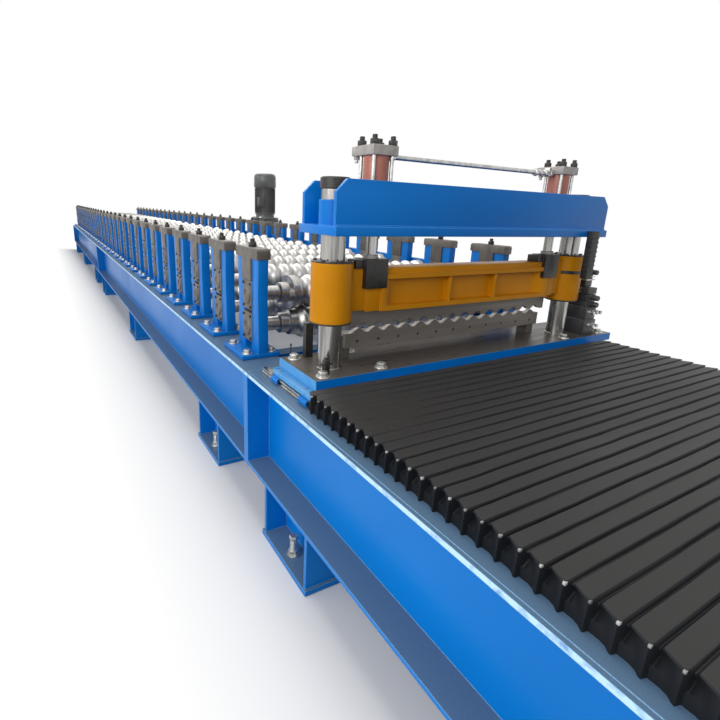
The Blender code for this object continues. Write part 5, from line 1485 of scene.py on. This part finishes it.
farther = compute(nodes, join, "MAXIMUM", distance_past(nodes, join, place["X"], FOOTPRINT_X),
                  distance_past(nodes, join, place["Y"], FOOTPRINT_Y))
fade = nodes.new("ShaderNodeMapRange")
for label, number in zip(("From Min", "From Max"), (SHADOW_START, SHADOW_END)):
    fade.inputs[label].default_value = number
join(farther, fade.inputs["Value"])
ground = nodes.new("ShaderNodeMixShader")
join(fade.outputs["Result"], ground.inputs["Fac"])
join(shadowed.outputs[0], ground.inputs[1])
join(white.outputs[0], ground.inputs[2])
pick = nodes.new("ShaderNodeMixShader")
join(seen_directly(nodes, join), pick.inputs["Fac"])
join(matt.outputs[0], pick.inputs[1])
join(ground.outputs[0], pick.inputs[2])
join(pick.outputs[0], nodes["Material Output"].inputs["Surface"])
floor.data.materials.append(pale)
print("floor:", floor.name)

# %% [markdown]
# The pale hall lights the machine from all round with a little blue in it. Four soft boxes do the
# rest: a window beside the exit, a long one along the bed, the hall's roof, and a weak one in front
# of the shear. More lamps would only flatten the shapes.

# %% Light the hall
world = bpy.data.worlds.new("pale_hall")
scene.world = world
world.use_nodes = True
nodes, join = world.node_tree.nodes, world.node_tree.links.new
hall = nodes["Background"]
hall.inputs["Color"].default_value = (0.86, 0.90, 0.96, 1)
hall.inputs["Strength"].default_value = 0.34
white = nodes.new("ShaderNodeBackground")
white.inputs["Color"].default_value = (1, 1, 1, 1)
pick = nodes.new("ShaderNodeMixShader")
join(seen_directly(nodes, join), pick.inputs["Fac"])
join(hall.outputs[0], pick.inputs[1])
join(white.outputs[0], pick.inputs[2])
join(pick.outputs[0], nodes["World Output"].inputs["Surface"])


def softbox(name, place, target, size, power, colour):
    """A rectangular lamp at one place, turned to face another."""
    lamp = bpy.data.lights.new(name, "AREA")
    lamp.shape = "RECTANGLE"
    lamp.size, lamp.size_y = size
    lamp.energy = power
    lamp.color = colour
    item = bpy.data.objects.new(name, lamp)
    item.location = place
    item.rotation_mode = "QUATERNION"
    item.rotation_quaternion = (Vector(target) - Vector(place)).to_track_quat("-Z", "Y")
    scene.collection.objects.link(item)
    return item


softboxes = [
    softbox("window_light", (-5.4, -7.0, 3.0), (-0.7, -5.4, 0.55), (4.6, 2.6), 195, (0.98, 0.98, 1.0)),
    softbox("hall_window", (-8.5, 0.5, 5.0), (-0.5, 0.5, 0.6), (13.0, 3.0), 265, (0.96, 0.98, 1.0)),
    softbox("hall_light", (0.4, 0.5, 7.0), (0.0, -1.5, 0.5), (4.0, 15.0), 480, (1.0, 0.98, 0.95)),
    softbox("shear_light", (-1.3, -9.3, 2.5), (0.0, -5.5, 0.9), (2.4, 1.4), 22, (1.0, 0.97, 0.93)),
]

# %% [markdown]
# The three directions of the camera and its place were worked out from the straight edges of the
# bed in the photo. The shift puts the middle of the view where the photo was cropped.

# %% Place the camera
right = Vector((0.8675, -0.4963, 0.0344))
down = Vector((-0.1078, -0.2549, -0.9609))
forward = Vector((0.4857, 0.8299, -0.2746))
view_data = bpy.data.cameras.new("photo_view")
view_data.sensor_width = 36.0
view_data.lens = 23.73
view_data.shift_x = 0.0477
view_data.shift_y = -0.0221
view_data.clip_end = 200
camera = bpy.data.objects.new("photo_view", view_data)
scene.collection.objects.link(camera)
camera.location = (-1.633, -6.82, 1.261)
camera.rotation_mode = "QUATERNION"
camera.rotation_quaternion = Matrix((right, -down, -forward)).transposed().to_quaternion()
scene.camera = camera
scene.view_settings.view_transform = "Standard"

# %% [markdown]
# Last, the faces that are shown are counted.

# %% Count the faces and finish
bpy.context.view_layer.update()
faces = sum(len(item.data.polygons) for item in bpy.data.objects if item.type == "MESH" and not item.hide_render)
print("faces shown:", faces)
